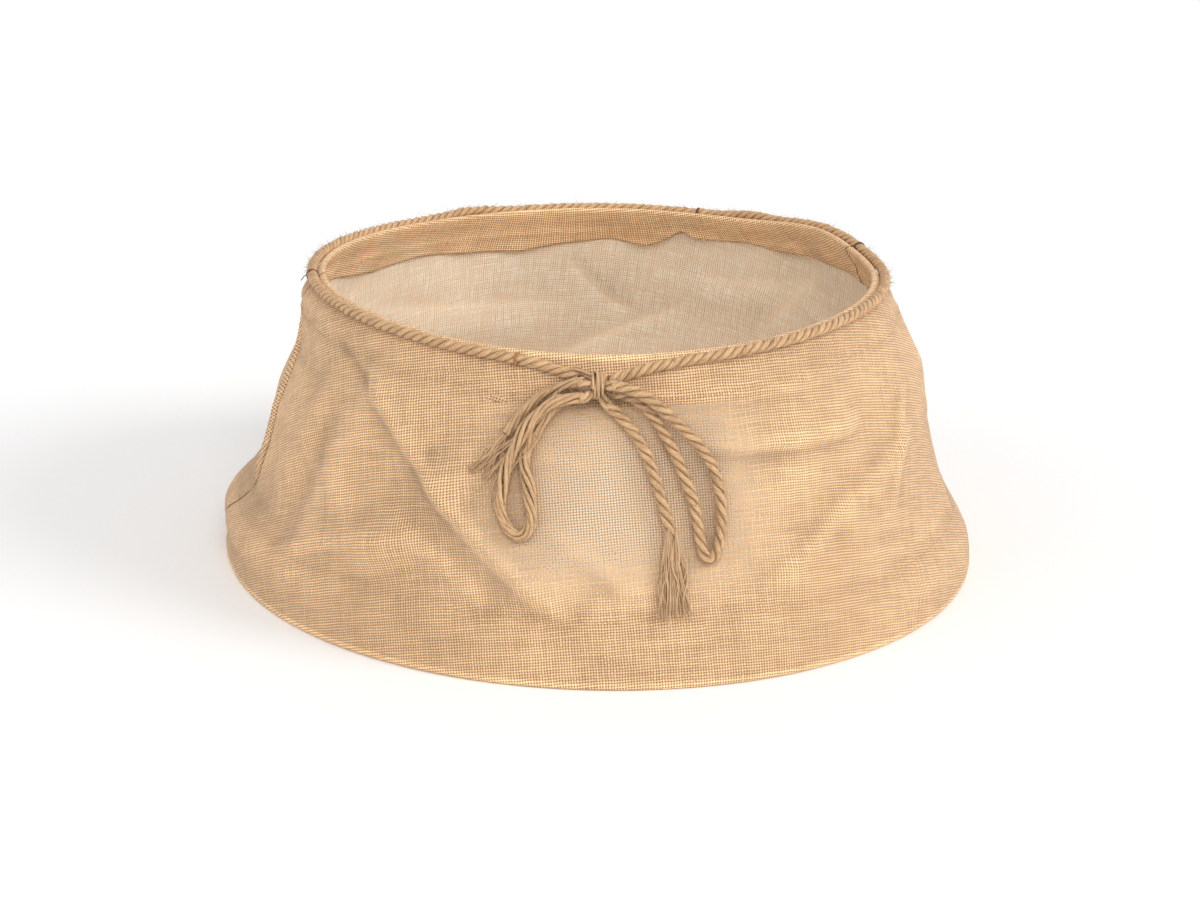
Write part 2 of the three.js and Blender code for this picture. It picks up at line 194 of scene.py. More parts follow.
# Where the left tail's loose yarns end, as x and height, and the corners of the right tail's brush.
LEFT_FRAY_ROOT = (-0.0745, 0.1975)
LEFT_FRAY_TIPS = [(-0.1045, 0.1655), (-0.1030, 0.1625), (-0.0925, 0.1600), (-0.0910, 0.1640),
                  (-0.0845, 0.1420)]
RIGHT_FRAY_ROOT = (0.0608, 0.1215)
RIGHT_FRAY_TIPS = ((0.0525, 0.0580), (0.0790, 0.0590))

TACK_AZIMUTHS = {"rope_tack_right": 20.0, "rope_tack_back": 68.5, "rope_tack_left": 190.0,
                 "rope_tack_front": 255.0}

# ---- settings --------------------------------------------------------------------------------


class ClothSettings(bpy.types.PropertyGroup):
    """Sizes and colours of the burlap."""

    weave_pitch: bpy.props.FloatProperty(
        name="Weave pitch", description="Distance from one thread to the next",
        default=0.00231, unit="LENGTH")
    thickness: bpy.props.FloatProperty(
        name="Thickness", description="One layer of burlap", default=0.0013, unit="LENGTH")
    ripple: bpy.props.FloatProperty(
        name="Ripple", description="Height of the small unevenness of the wall",
        default=0.00042, unit="LENGTH")
    outside_colour: bpy.props.FloatVectorProperty(
        name="Outside colour", description="Jute threads on the outside", subtype="COLOR",
        default=(0.625, 0.404, 0.226))
    inside_colour: bpy.props.FloatVectorProperty(
        name="Inside colour", description="Jute threads where light comes through the single cloth",
        subtype="COLOR", default=(0.66, 0.445, 0.262))
    facing_colour: bpy.props.FloatVectorProperty(
        name="Facing colour", description="Jute threads of the turned-in cloth, seen inside",
        subtype="COLOR", default=(0.76, 0.495, 0.27))
    # Painted light: the colour of the gaps where light comes through the cloth.
    lit_pore_colour: bpy.props.FloatVectorProperty(
        name="Open pore colour", description="Gaps between the threads of a single layer",
        subtype="COLOR", default=(1.0, 0.908, 0.745))
    # Painted shade: the colour of the gaps where only shade is seen behind them.
    shaded_pore_colour: bpy.props.FloatVectorProperty(
        name="Backed pore colour", description="Gaps between threads with more cloth behind them",
        subtype="COLOR", default=(0.190, 0.092, 0.036))


class RopeSettings(bpy.types.PropertyGroup):
    """Sizes and colours of the jute rope."""

    diameter: bpy.props.FloatProperty(
        name="Rope diameter", description="Across the three strands", default=0.0095, unit="LENGTH")
    neck_lay: bpy.props.FloatProperty(
        name="Neck lay", description="Length of one full twist of the neck rope", default=0.027,
        unit="LENGTH")
    bow_lay: bpy.props.FloatProperty(
        name="Bow lay", description="Length of one full twist in the bow, which has opened a little",
        default=0.034, unit="LENGTH")
    light_colour: bpy.props.FloatVectorProperty(
        name="Light jute", description="Tops of the strands", subtype="COLOR",
        default=(0.700, 0.445, 0.236))
    # Painted shade in the grooves between the strands, which also gives the darker streaks of fibre.
    dark_fibre_and_groove_shade: bpy.props.FloatVectorProperty(
        name="Dark jute", description="Grooves between the strands", subtype="COLOR",
        default=(0.195, 0.102, 0.042))
    hair_count: bpy.props.IntProperty(
        name="Hairs", description="Loose hairs on each metre of rope", default=1500)


class StudioSettings(bpy.types.PropertyGroup):
    """Camera and lights."""

    lens: bpy.props.FloatProperty(
        name="Lens", description="Focal length in millimetres on a 36 mm sensor", default=70.66)
    viewpoint: bpy.props.FloatVectorProperty(
        name="Viewpoint", description="Where the camera stands", subtype="TRANSLATION",
        default=(0.0014, -2.0909, 0.8142))
    look_down: bpy.props.FloatProperty(
        name="Look down", description="Tilt of the camera below level", subtype="ANGLE",
        default=math.radians(19.209))
    roll: bpy.props.FloatProperty(
        name="Roll", description="Turn of the camera about its own line of sight", subtype="ANGLE",
        default=math.radians(1.443))
    key_strength: bpy.props.FloatProperty(
        name="Key light", description="Soft light from the right", default=1.30)
    front_strength: bpy.props.FloatProperty(
        name="Front light", description="Soft light from above the viewpoint", default=1.15)
    fill_strength: bpy.props.FloatProperty(
        name="Fill light", description="Soft light from the left", default=0.35)
    sky_strength: bpy.props.FloatProperty(
        name="Room light", description="Even light from all round", default=0.60)
    floor_colour: bpy.props.FloatVectorProperty(
        name="Floor", description="Plain pale floor", subtype="COLOR", default=(0.97, 0.97, 0.97))


# ---- small numpy helpers ---------------------------------------------------------------------


def smoothstep(low, high, value):
    """0 below low, 1 above high and an S-shaped rise of 3t^2 - 2t^3 between them."""
    t = np.clip((value - low) / (high - low), 0.0, 1.0)
    return t * t * (3.0 - 2.0 * t)


def turn_between(azimuth, centre):
    """Signed turn in degrees from centre to azimuth, the short way round."""
    return (azimuth - centre + 180.0) % 360.0 - 180.0


def unit(vectors):
    """Vectors divided by their lengths."""
    return vectors / np.maximum(np.linalg.norm(vectors, axis=-1, keepdims=True), 1e-12)


def smoothed(points, window):
    """A table of (place, value) points as a smooth function: straight lines between the points,
    averaged under a raised-cosine window."""
    table = np.array(points)
    step = window / 12.0
    places = np.arange(table[0, 0] - window, table[-1, 0] + window, step)
    values = np.interp(places, table[:, 0], table[:, 1])
    kernel = np.hanning(13)
    values = np.convolve(np.pad(values, 6, mode="edge"), kernel / kernel.sum(), mode="valid")
    return lambda place: np.interp(place, places, values)


def wall_radius(height):
    """Outside radius of the plain cone, which loses TAPER of each metre of height."""
    return BASE_RADIUS - TAPER * height


def on_wall(route):
    """Points (x, height, stand-off) laid on the front of the cloth."""
    return lay_on_cloth(*np.array(route, dtype=float).T)


def lay_on_cloth(x, height, stand_off):
    """Arrays of x, height and stand-off laid on the front of the cloth: y is minus the root of the
    square of cone radius plus swell plus stand-off, less the square of x."""
    azimuth = 270.0 + np.degrees(np.arcsin(x / wall_radius(height)))
    swell = np.clip(wall_swell(azimuth, height, 0.0), -0.002, 0.010)
    reach = wall_radius(height) + swell + stand_off
    return np.stack([x, -np.sqrt(reach**2 - x**2), height], axis=-1)


def smooth_path(points, spacing):
    """A curve through the points: cubic Hermite pieces whose slopes come from the neighbours and
    whose parameter grows with the root of each chord, resampled to even steps along its length."""
    points = np.asarray(points, dtype=float)
    chords = np.sqrt(np.linalg.norm(np.diff(points, axis=0), axis=1))
    knots = np.concatenate([[0.0], np.cumsum(chords)])
    slopes = np.gradient(points, knots, axis=0)
    t = np.linspace(0.0, knots[-1], 24 * len(points))
    piece = np.clip(np.searchsorted(knots, t, side="right") - 1, 0, len(points) - 2)
    span = (knots[piece + 1] - knots[piece])[:, None]
    u = (t[:, None] - knots[piece][:, None]) / span
    curve = ((2 * u**3 - 3 * u**2 + 1) * points[piece] + (u**3 - 2 * u**2 + u) * span * slopes[piece]
             + (3 * u**2 - 2 * u**3) * points[piece + 1] + (u**3 - u**2) * span * slopes[piece + 1])
    run = np.concatenate([[0.0], np.cumsum(np.linalg.norm(np.diff(curve, axis=0), axis=1))])
    even = np.linspace(0.0, run[-1], max(4, int(round(run[-1] / spacing)) + 1))
    return np.stack([np.interp(even, run, curve[:, axis]) for axis in range(3)], axis=-1)


def square_to(tangents, reference):
    """Two directions square to the tangents: the reference less its part along them, made unit, and
    the tangents crossed with it."""
    first = unit(reference - np.sum(reference * tangents, axis=-1, keepdims=True) * tangents)
    return first, np.cross(tangents, first)


def lengths_along(path):
    """Distance of each point of a path from its start."""
    steps = np.linalg.norm(np.diff(path, axis=-2), axis=-1)
    start = np.zeros(steps.shape[:-1] + (1,))
    return np.concatenate([start, np.cumsum(steps, axis=-1)], axis=-1)


# ---- meshes ----------------------------------------------------------------------------------


def mesh_piece(name, points, faces, uv, attributes, materials):
    """A mesh object at the origin, with smooth faces, one UV map and float attributes on points."""
    mesh = bpy.data.meshes.new(name)
    mesh.from_pydata(points, [], faces)
    layer = mesh.uv_layers.new(name="UVMap")
    layer.data.foreach_set("uv", np.asarray(uv, dtype=np.float32).ravel())
    for key, values in attributes.items():
        attribute = mesh.attributes.new(key, "FLOAT", "POINT")
        attribute.data.foreach_set("value", np.asarray(values, dtype=np.float32).ravel())
    mesh.polygons.foreach_set("use_smooth", np.ones(len(mesh.polygons), dtype=bool))
    for material in materials:
        mesh.materials.append(material)
    mesh.update()
    piece = bpy.data.objects.new(name, mesh)
    bpy.context.scene.collection.objects.link(piece)
    return piece


def tubes(name, centres, radii, reference, sides, material, tone=None, exposure=None):
    """Closed tubes along many paths at once. Point k of ring s of tube n is the path's point plus
    radius times (cos a n1 + sin a n2), where a is k turns of 1/sides, n1 is the reference direction
    made square to the path and n2 is the path's direction crossed with n1."""
    count, steps = centres.shape[:2]
    first, second = square_to(unit(np.gradient(centres, axis=1)), reference)
    angle = np.arange(sides) * (2.0 * math.pi / sides)
    ring = (np.cos(angle)[:, None] * first[:, :, None, :] + np.sin(angle)[:, None] * second[:, :, None, :])
    points = centres[:, :, None, :] + radii[:, :, None, None] * ring
    index = np.arange(count * steps * sides).reshape(count, steps, sides)
    after = np.roll(index, -1, axis=2)
    quads = np.stack([index[:, :-1], after[:, :-1], after[:, 1:], index[:, 1:]], axis=-1).reshape(-1, 4)
    run = lengths_along(centres)
    around = np.broadcast_to(np.arange(sides) / sides, (count, steps - 1, sides))
    low = np.broadcast_to(run[:, :-1, None], around.shape)
    high = np.broadcast_to(run[:, 1:, None], around.shape)
    far = around + 1.0 / sides
    uv = np.stack([around, low, far, low, far, high, around, high], axis=-1).reshape(-1, 2)
    caps = np.concatenate([index[:, 0, ::-1], index[:, -1, :]])
    cap_uv = np.zeros((caps.size, 2))
    tone = np.full((count, steps), 0.5) if tone is None else tone
    exposure = np.full((count, steps, sides), 0.75) if exposure is None else exposure
    attributes = {
        "tone": np.broadcast_to(tone[:, :, None], (count, steps, sides)),
        "exposure": exposure,
    }
    uv = np.concatenate([uv, cap_uv])
    faces = quads.tolist() + caps.tolist()
    return mesh_piece(name, points.reshape(-1, 3), faces, uv, attributes, [material])


def strand_rope(name, path, reference, radius, lay, material, loosen=0.0, strands=3, sides=10, seed=1):
    """A left-laid rope. Strand k runs beside the path at an angle of k thirds of a turn, less one
    turn for each lay of length, and wanders by loosen where the rope has opened."""
    rng = np.random.default_rng(seed)
    run = lengths_along(path)
    first, second = square_to(unit(np.gradient(path, axis=0)), reference)
    radius = np.broadcast_to(radius, run.shape)
    strand_radius = radius * (0.50 if strands == 3 else 0.36)
    offset = radius - strand_radius
    centres, exposures, tones = [], [], []
    for k in range(strands):
        phase = 2.0 * math.pi * (k / strands - run / lay)
        wander = np.sin(run / 0.011 + 6.0 * rng.random())
        wander = loosen * (wander + np.sin(run / 0.019 + 6.0 * rng.random()))
        aside = loosen * np.sin(run / 0.015 + 6.0 * rng.random())
        direction = np.cos(phase)[:, None] * first + np.sin(phase)[:, None] * second
        centre = path + (offset + wander)[:, None] * direction + aside[:, None] * second
        centres.append(centre)
        tones.append(0.5 + 0.16 * np.sin(run / 0.045 + 6.0 * rng.random()) + 0.10 * (rng.random() - 0.5))
        angle = np.arange(sides) * (2.0 * math.pi / sides)
        # Painted shade: the side of each strand that faces into the rope's grooves gets a low exposure and
        # is painted dark.
        exposures.append(np.broadcast_to(0.5 + 0.5 * np.cos(angle), (len(path), sides)))
    centres = np.array(centres)
    outward = unit(centres - path[None])
    radii = np.repeat(strand_radius[None], strands, axis=0)
    radii = radii * (1.0 + 0.05 * np.sin(run / 0.004 + np.arange(strands)[:, None]))
    return tubes(name, centres, radii, outward, sides, material, np.array(tones), np.array(exposures))


def hairs(name, roots, headings, lengths, width, material, seed, bend=0.5, sides=3, steps=5):
    """Fine tapering hairs: each runs from its root along its heading and drifts aside with the square
    of the distance, so that it curls."""
    rng = np.random.default_rng(seed)
    count = len(roots)
    t = np.linspace(0.0, 1.0, steps)
    side = unit(np.cross(headings, rng.normal(size=(count, 3))))
    curl = bend * rng.uniform(-1.0, 1.0, size=(count, 1, 1)) * side[:, None, :]
    centres = (roots[:, None, :] + lengths[:, None, None] * (t[None, :, None] * headings[:, None, :]
               + (t**2)[None, :, None] * curl))
    radii = width * rng.uniform(0.6, 1.2, size=(count, 1)) * (1.0 - 0.75 * t)[None, :]
    tone = np.repeat(rng.uniform(0.25, 1.0, size=(count, 1)), steps, axis=1)
    return tubes(name, centres, radii, side[:, None, :] * np.ones((1, steps, 1)), sides, material, tone)


def rope_hairs(name, path, reference, radius, per_metre, material, seed, length=(0.003, 0.009)):
    """Hairs that leave a rope's surface at random places, leaning along the rope."""
    rng = np.random.default_rng(seed)
    run = lengths_along(path)
    count = max(12, int(per_metre * run[-1]))
    place = rng.integers(1, len(path) - 1, size=count)
    tangents = unit(np.gradient(path, axis=0))[place]
    first, second = square_to(tangents, reference[place])
    angle = rng.uniform(-0.5 * math.pi, 0.5 * math.pi, size=(count, 1)) * 1.25
    outward = np.cos(angle) * first + np.sin(angle) * second
    lean = rng.choice([-1.0, 1.0], size=(count, 1)) * rng.uniform(0.5, 2.2, size=(count, 1))
    headings = unit(outward + lean * tangents + 0.5 * rng.normal(size=(count, 3)))
    roots = path[place] + outward * (np.broadcast_to(radius, run.shape)[place] * 0.82)[:, None]
    return hairs(name, roots, headings, rng.uniform(*length, size=count), 0.00017, material, seed + 1)


# ---- shape of the cloth ----------------------------------------------------------------------

left_seam_azimuth = smoothed(LEFT_SEAM, 0.02)
right_seam_azimuth = smoothed(RIGHT_SEAM, 0.02)
front_swell = smoothed(FRONT_SWELL, 0.02)
left_swell = smoothed(LEFT_SWELL, 0.014)
right_swell = smoothed(RIGHT_SWELL, 0.014)
back_swell = smoothed(BACK_SWELL, 0.02)
facing_edge = smoothed(FACING_EDGE, 2.4)


def rim_lift(azimuth):
    """How far the rim stands above the level ring: a saddle of 2 waves, a slight tilt and a rise
    near the right seam."""
    turn = np.radians(azimuth)
    rise = 8.0 * np.exp(-((turn_between(azimuth, 35.0) / 16.0) ** 2))
    rise = rise - 2.0 * np.exp(-((turn_between(azimuth, 125.0) / 30.0) ** 2))
    return 0.001 * (-0.95 + 1.75 * np.cos(turn) + 0.35 * np.sin(turn) + 3.2 * np.cos(2 * turn)
                    - 1.5 * np.sin(3 * turn) + rise)


def rim_shift(azimuth):
    """How far the rim stands outside the frame's ring: the ring has slid 4 mm to the left."""
    turn = np.radians(azimuth)
    push = 4.0 * np.exp(-((turn_between(azimuth, 37.0) / 19.0) ** 2))
    return 0.001 * (0.4 - 4.0 * np.cos(turn) - 0.9 * np.sin(turn) + push)


def crease_rise(azimuth, height, start, end, bow, rise, left_fall, right_fall):
    """A fold along a bowed line on the wall: its rise falls off as exp(-d / fall) on each side, with a
    rounded tip, and fades past both ends of the line."""
    radius = wall_radius(0.5 * (start[1] + end[1]))
    slant = math.hypot(1.0, TAPER)
    across_end = math.radians(turn_between(end[0], start[0])) * radius
    up_end = (end[1] - start[1]) * slant
    length = math.hypot(across_end, up_end)
    across = np.radians(turn_between(azimuth, start[0])) * radius
    up = (height - start[1]) * slant
    along = (across * across_end + up * up_end) / length**2
    aside = (across_end * up - up_end * across) / length
    aside = aside - 4.0 * bow * along * (1.0 - along)
    tip = 0.0025
    distance = np.sqrt(aside**2 + tip**2) - tip
    fall = np.where(aside > 0.0, left_fall, right_fall)
    fade = smoothstep(-0.15, 0.2, along) * (1.0 - smoothstep(0.8, 1.15, along))
    return rise * np.exp(-distance / fall) * fade


def pillow_rise(azimuth, height, centre, level, half_length, half_width, lean, rise):
    """A soft bump or hollow: a leaning bell surface exp(-(a/length)^2 - (b/width)^2)."""
    across = np.radians(turn_between(azimuth, centre)) * wall_radius(level)
    up = height - level
    turn = math.radians(lean)
    along = across * math.cos(turn) + up * math.sin(turn)
    aside = -across * math.sin(turn) + up * math.cos(turn)
    return rise * np.exp(-((along / half_length) ** 2) - (aside / half_width) ** 2)


def fine_ripple(azimuth, height, amount, seed=11):
    """Unevenness of limp cloth: a sum of slanting waves that close round the collar."""
    rng = np.random.default_rng(seed)
    total = np.zeros(np.broadcast(azimuth, height).shape)
    for _ in range(16):
        waves = int(rng.integers(6, 34))
        climb = rng.uniform(-60.0, 60.0)
        wave = np.sin(waves * np.radians(azimuth) + climb * height + 6.3 * rng.random())
        total += wave * (18.0 / (10.0 + waves))
    return amount * total


def wall_swell(azimuth, height, ripple):
    """How far the cloth stands out from its cone at each azimuth and height."""
    front = front_swell(height)
    swell = front.copy()
    swell += np.exp(-(turn_between(azimuth, 193.0) / 27.0) ** 2) * (left_swell(height) - front)
    swell += np.exp(-(turn_between(azimuth, 353.0) / 30.0) ** 2) * (right_swell(height) - front)
    swell += np.exp(-(turn_between(azimuth, 90.0) / 58.0) ** 4) * (back_swell(height) - front)
    folds = np.zeros_like(swell)
    for crease in CREASES:
        folds += crease_rise(azimuth, height, *crease)
    for pillow in PILLOWS:
        folds += pillow_rise(azimuth, height, *pillow)
    folds += fine_ripple(azimuth, height, ripple)
    slack = smoothstep(0.004, 0.05, height) * (1.0 - smoothstep(0.236, 0.257, height))
    bow = np.exp(-((turn_between(azimuth, 271.0) / 17.0) ** 4) - ((height - 0.165) / 0.062) ** 4)
    return swell + folds * slack * (1.0 - 0.45 * bow)


def seam_swell(metres_from_seam, lip):
    """Across a seam: a groove where the cloth turns in and a rounded lip beside it."""
    near = metres_from_seam / 0.0035
    return -0.0016 * np.exp(-(near**2)) + lip * np.exp(-(((metres_from_seam - 0.006) / 0.0036) ** 2))


def panel_columns(span, step):
    """Evenly spread columns across a panel, closer together near both seams."""
    t = np.linspace(0.0, 1.0, int(span / step) + 1)
    return t - 0.02 * np.sin(2.0 * math.pi * t)


def cloth_middle(seam_from, seam_to, columns, cloth, lips):
    """Middle surface of one panel. Columns go round from one seam to the other. Rows go up the bottom
    facing's way down, round the bottom hoop, up the wall, over the top hoop and down the top facing.
    Each point is at radius cone + fold offset + swell and at the row's height, lifted with the rim."""
    half_turn = np.linspace(0.0, math.pi, 13)
    down = np.linspace(BOTTOM_HEM, FOOT + 0.002, 20)
    up = np.linspace(FOOT + 0.0015, CREST - 0.0015, 106)
    over = np.linspace(0.0, 1.0, 18)[1:]
    round_foot = FOOT - FOLD_RADIUS * np.sin(half_turn)
    round_crest = CREST + CREST_RADIUS * np.sin(half_turn)
    level = np.concatenate([down, round_foot, up, round_crest])
    drawn_in = 1.0 - smoothstep(0.004, 0.022, down - FOOT)
    bottom_offset = -FACING_DEPTH - (2 * FOLD_RADIUS - FACING_DEPTH) * drawn_in
    foot_offset = -FOLD_RADIUS + FOLD_RADIUS * -np.cos(half_turn)
    crest_offset = -CREST_RADIUS + CREST_RADIUS * np.cos(half_turn)
    offset = np.concatenate([bottom_offset, foot_offset, np.zeros_like(up), crest_offset])
    wall_rows = len(down) + len(half_turn)
    level = np.repeat(level[:, None], len(columns), axis=1)
    offset = np.repeat(offset[:, None], len(columns), axis=1)
    rough = seam_from(HEIGHT) + columns * (seam_to(HEIGHT) - seam_from(HEIGHT))
    edge = facing_edge(rough % 360.0)
    fall = CREST + (edge - CREST)[None, :] * over[:, None]
    hang = -2 * CREST_RADIUS + (2 * CREST_RADIUS - FACING_DEPTH) * smoothstep(0.006, 0.024, CREST - fall)
    flutter = fine_ripple(rough, 0.0, 0.0009, seed=5)[None, :] * over[:, None] ** 2
    tuck = -0.0040 * np.exp(-((turn_between(rough, 31.0) / 6.0) ** 2))[None, :]
    tuck = tuck * np.sin(over * math.pi)[:, None]
    level = np.concatenate([level, fall])
    offset = np.concatenate([offset, hang + flutter + tuck])
    azimuth = seam_from(level) + columns[None, :] * (seam_to(level) - seam_from(level))
    radius = wall_radius(level) + offset - 0.5 * cloth.thickness
    start_arc = np.radians(azimuth - seam_from(level)) * radius
    end_arc = np.radians(seam_to(level) - azimuth) * radius
    lip_zone = smoothstep(0.06, 0.09, level) * (1.0 - smoothstep(0.19, 0.23, level))
    seam = seam_swell(start_arc, lips[0] * lip_zone) + seam_swell(end_arc, lips[1] * lip_zone)
    pinch = -0.0011 * np.exp(-(((level - CASING_LINE) / 0.0026) ** 2))
    pinch = pinch + 0.0009 * np.exp(-(((level - 0.246) / 0.006) ** 2))
    pinch = pinch - 0.0005 * np.exp(-(((level - BOTTOM_HEM) / 0.003) ** 2))
    swell = wall_swell(azimuth, level, cloth.ripple)
    follow = smoothstep(BLEND_START[2], BLEND_END[2], level)
    radius = radius + swell + seam + pinch + follow * rim_shift(azimuth)
    height = level + follow * rim_lift(azimuth)
    turn = np.radians(azimuth)
    points = np.stack([radius * np.cos(turn), radius * np.sin(turn), height], axis=-1)
    flat = flat_pattern(azimuth, level, offset, wall_rows, seam_from, seam_to)
    facing = np.arange(len(level))[:, None] >= wall_rows + len(up)
    wander = 0.0022 * np.sin(np.radians(azimuth) * 23.0) + 0.0015 * np.sin(np.radians(azimuth) * 41.0 + 1.0)
    turned = np.maximum(smoothstep(edge - 0.0012, edge + 0.0012, level),
                        1.0 - smoothstep(BOTTOM_HEM - 0.004, BOTTOM_HEM + 0.004, level + wander))
    inside = np.zeros_like(level)
    inside[:wall_rows] = 1.0
    inside[facing[:, 0]] = 1.0
    # Painted shade: darker in the folds' hollows and lighter on their ridges, from how deep each point lies
    # in a fold.
    shadow = hollowness(azimuth, level, cloth.ripple)
    # Painted shade in the groove along each seam.
    groove = np.exp(-((start_arc / 0.0016) ** 2)) + np.exp(-((end_arc / 0.0016) ** 2))
    shadow = np.maximum(shadow, 0.95 * groove * smoothstep(0.012, 0.03, level))
    # Painted shadow just under the knot.
    knot = np.exp(-((turn_between(azimuth, BOW_AT) / 5.0) ** 2) - ((level - 0.2265) / 0.006) ** 2)
    shadow = shadow + 0.7 * knot
    # Painted light: a patch round and below the bow where light from inside the collar shines through the
    # cloth.
    light = np.exp(-((turn_between(azimuth, 275.0) / 21.0) ** 4) - ((level - 0.155) / 0.075) ** 4)
    return points, flat, turned, inside, shadow, light


def hollowness(azimuth, height, ripple):
    """How deep each point lies in a fold, 0 to 1 about one half: the swell averaged over eight points 10 mm
    away, less the swell itself, over 4 mm. The burlap finish paints shade with it, darker in hollows and
    lighter on ridges."""
    total = 0.0
    for turn in np.arange(8) * math.pi / 4.0:
        aside = np.degrees(0.010 * math.cos(turn) / wall_radius(height))
        total = total + wall_swell(azimuth + aside, height + 0.010 * math.sin(turn), ripple) / 8.0
    slack = smoothstep(0.004, 0.03, height) * (1.0 - smoothstep(0.236, 0.25, height))
    return np.clip(0.25 + slack * (total - wall_swell(azimuth, height, ripple)) / 0.004, 0.0, 1.0)


def flat_pattern(azimuth, level, offset, wall_rows, seam_from, seam_to):
    """The panel laid flat: a sector of a ring, where a point at slant distance s from the cone's tip
    and turned by angle a lies at (s sin a, -s cos a). Turned-in rows carry on along the slant."""
    radius = wall_radius(level) + offset
    steps = np.hypot(np.diff(radius, axis=0), np.diff(level, axis=0))
    run = np.concatenate([np.zeros((1, level.shape[1])), np.cumsum(steps, axis=0)])
    slant = wall_radius(level[wall_rows]) / CONE_SINE - (run - run[wall_rows])
    middle = 0.5 * (seam_from(0.15) + seam_to(0.15))
    turn = np.radians(azimuth - middle) * CONE_SINE
    return np.stack([slant * np.sin(turn), -slant * np.cos(turn)], axis=-1)


def cloth_shell(name, middle, flat, turned, inside, painted_shade, through, thickness, material):
    """A closed shell on both sides of a middle surface: each point moves half the thickness along
    and against the normal, the cross product of the steps round and up, and four rims close it."""
    rows, columns = middle.shape[:2]
    normal = unit(np.cross(np.gradient(middle, axis=1), np.gradient(middle, axis=0)))
    points = np.concatenate([middle + 0.5 * thickness * normal, middle - 0.5 * thickness * normal])
    index = np.arange(2 * rows * columns).reshape(2 * rows, columns)
    order = np.concatenate([np.arange(rows), rows + np.arange(rows)[::-1]])
    loop = index[order]
    after = np.roll(loop, -1, axis=0)
    quads = np.stack([loop[:, :-1], loop[:, 1:], after[:, 1:], after[:, :-1]], axis=-1).reshape(-1, 4)
    front, back = index[:rows], index[rows:]
    start = np.stack([front[:-1, 0], front[1:, 0], back[1:, 0], back[:-1, 0]], axis=-1)
    end = np.stack([front[:-1, -1], back[:-1, -1], back[1:, -1], front[1:, -1]], axis=-1)
    faces = np.concatenate([quads, start, end])
    double = np.concatenate([flat.reshape(-1, 2), flat.reshape(-1, 2)])
    uv = double[faces.ravel()]
    # Painted light: the through attribute, full on the inner face of the wall, paints the light that comes
    # through the single cloth.
    attributes = {
        "turned": np.concatenate([turned, turned]),
        "inside": np.concatenate([inside, 1.0 - inside]),
        "painted_shade": np.concatenate([painted_shade, painted_shade]),
        "through": np.concatenate([through, np.maximum(through, 1.0 - inside)]),
    }
    return mesh_piece(name, points.reshape(-1, 3), faces.tolist(), uv, attributes, [material])


def surface_point(azimuth, height, ripple, extra=0.0):
    """A point on the outside of the wall, at azimuth and height arrays, moved out by extra."""
    follow = smoothstep(BLEND_START[2], BLEND_END[2], height)
    radius = wall_radius(height) + wall_swell(azimuth, height, ripple) + follow * rim_shift(azimuth) + extra
    turn = np.radians(azimuth)
    level = height + follow * rim_lift(azimuth)
    return np.stack([radius * np.cos(turn), radius * np.sin(turn), level + 0.0 * radius], axis=-1)


def radial(points):
    """Level direction away from the collar's axis."""
    return unit(points * np.array([1.0, 1.0, 0.0]))


# ---- materials -------------------------------------------------------------------------------


class Finish:
    """A material's node tree, with short calls for the nodes that the finishes share."""

    def __init__(self, name):
        self.material = bpy.data.materials.new(name + "_finish")
        self.material.use_nodes = True
        self.tree = self.material.node_tree
        self.shader = self.tree.nodes["Principled BSDF"]

    def feed(self, socket, value):
        """Link a socket, or set its plain value."""
        if isinstance(value, bpy.types.NodeSocket):
            self.tree.links.new(value, socket)
        else:
            socket.default_value = value

    def node(self, kind, inputs, output=0, **settings):
        """A node with its settings and inputs, given back as one output socket."""
        made = self.tree.nodes.new(kind)
        for key, value in settings.items():
            setattr(made, key, value)
        for key, value in inputs.items():
            self.feed(made.inputs[key], value)
        return made.outputs[output]

    def math(self, operation, *values):
        """A Math node."""
        return self.node("ShaderNodeMath", dict(enumerate(values)), operation=operation)

    def times(self, first, *others):
        """The product of all the values."""
        for other in others:
            first = self.math("MULTIPLY", first, other)
        return first

    def ridge(self, value):
        """Rounded ridges, one to each whole step of the value: |sin(pi value)|."""
        return self.math("ABSOLUTE", self.math("SINE", self.times(value, math.pi)))

    def plain(self, **values):
        """Uniform values, each on the shader's own socket."""
        for key, value in values.items():
            self.shader.inputs[key.replace("_", " ")].default_value = value

    def ramp(self, value, low, high, to_low=0.0, to_high=1.0):
        """A smooth step of value from low to high."""
        inputs = {"Value": value, "From Min": low, "From Max": high, "To Min": to_low, "To Max": to_high}
        return self.node("ShaderNodeMapRange", inputs, interpolation_type="SMOOTHSTEP")

    def mix(self, factor, first, second, blend="MIX"):
        """A colour mix."""
        inputs = {0: factor, 6: first, 7: second}
        return self.node("ShaderNodeMix", inputs, output=2, data_type="RGBA", blend_type=blend)

    def noise(self, vector, scale, detail=2.0, output=0):
        """A noise texture."""
        inputs = {"Vector": vector, "Scale": scale, "Detail": detail}
        return self.node("ShaderNodeTexNoise", inputs, output=output)

    def pack(self, x, y, z=0.0):
        """A vector from three values."""
        return self.node("ShaderNodeCombineXYZ", {"X": x, "Y": y, "Z": z})

    def split(self, vector):
        """The x and y of a vector."""
        made = self.tree.nodes.new("ShaderNodeSeparateXYZ")
        self.tree.links.new(vector, made.inputs[0])
        return made.outputs[0], made.outputs[1]

    def attribute(self, name):
        """A float attribute of the mesh."""
        return self.node("ShaderNodeAttribute", {}, output=2, attribute_name=name)

    def bump(self, height, strength, distance):
        """A bump node fed into the shader."""
        inputs = {"Strength": strength, "Distance": distance, "Height": height}
        self.feed(self.shader.inputs["Normal"], self.node("ShaderNodeBump", inputs))


def opaque(colour):
    """A colour with full alpha, for a colour socket."""
    return tuple(colour) + (1.0,)


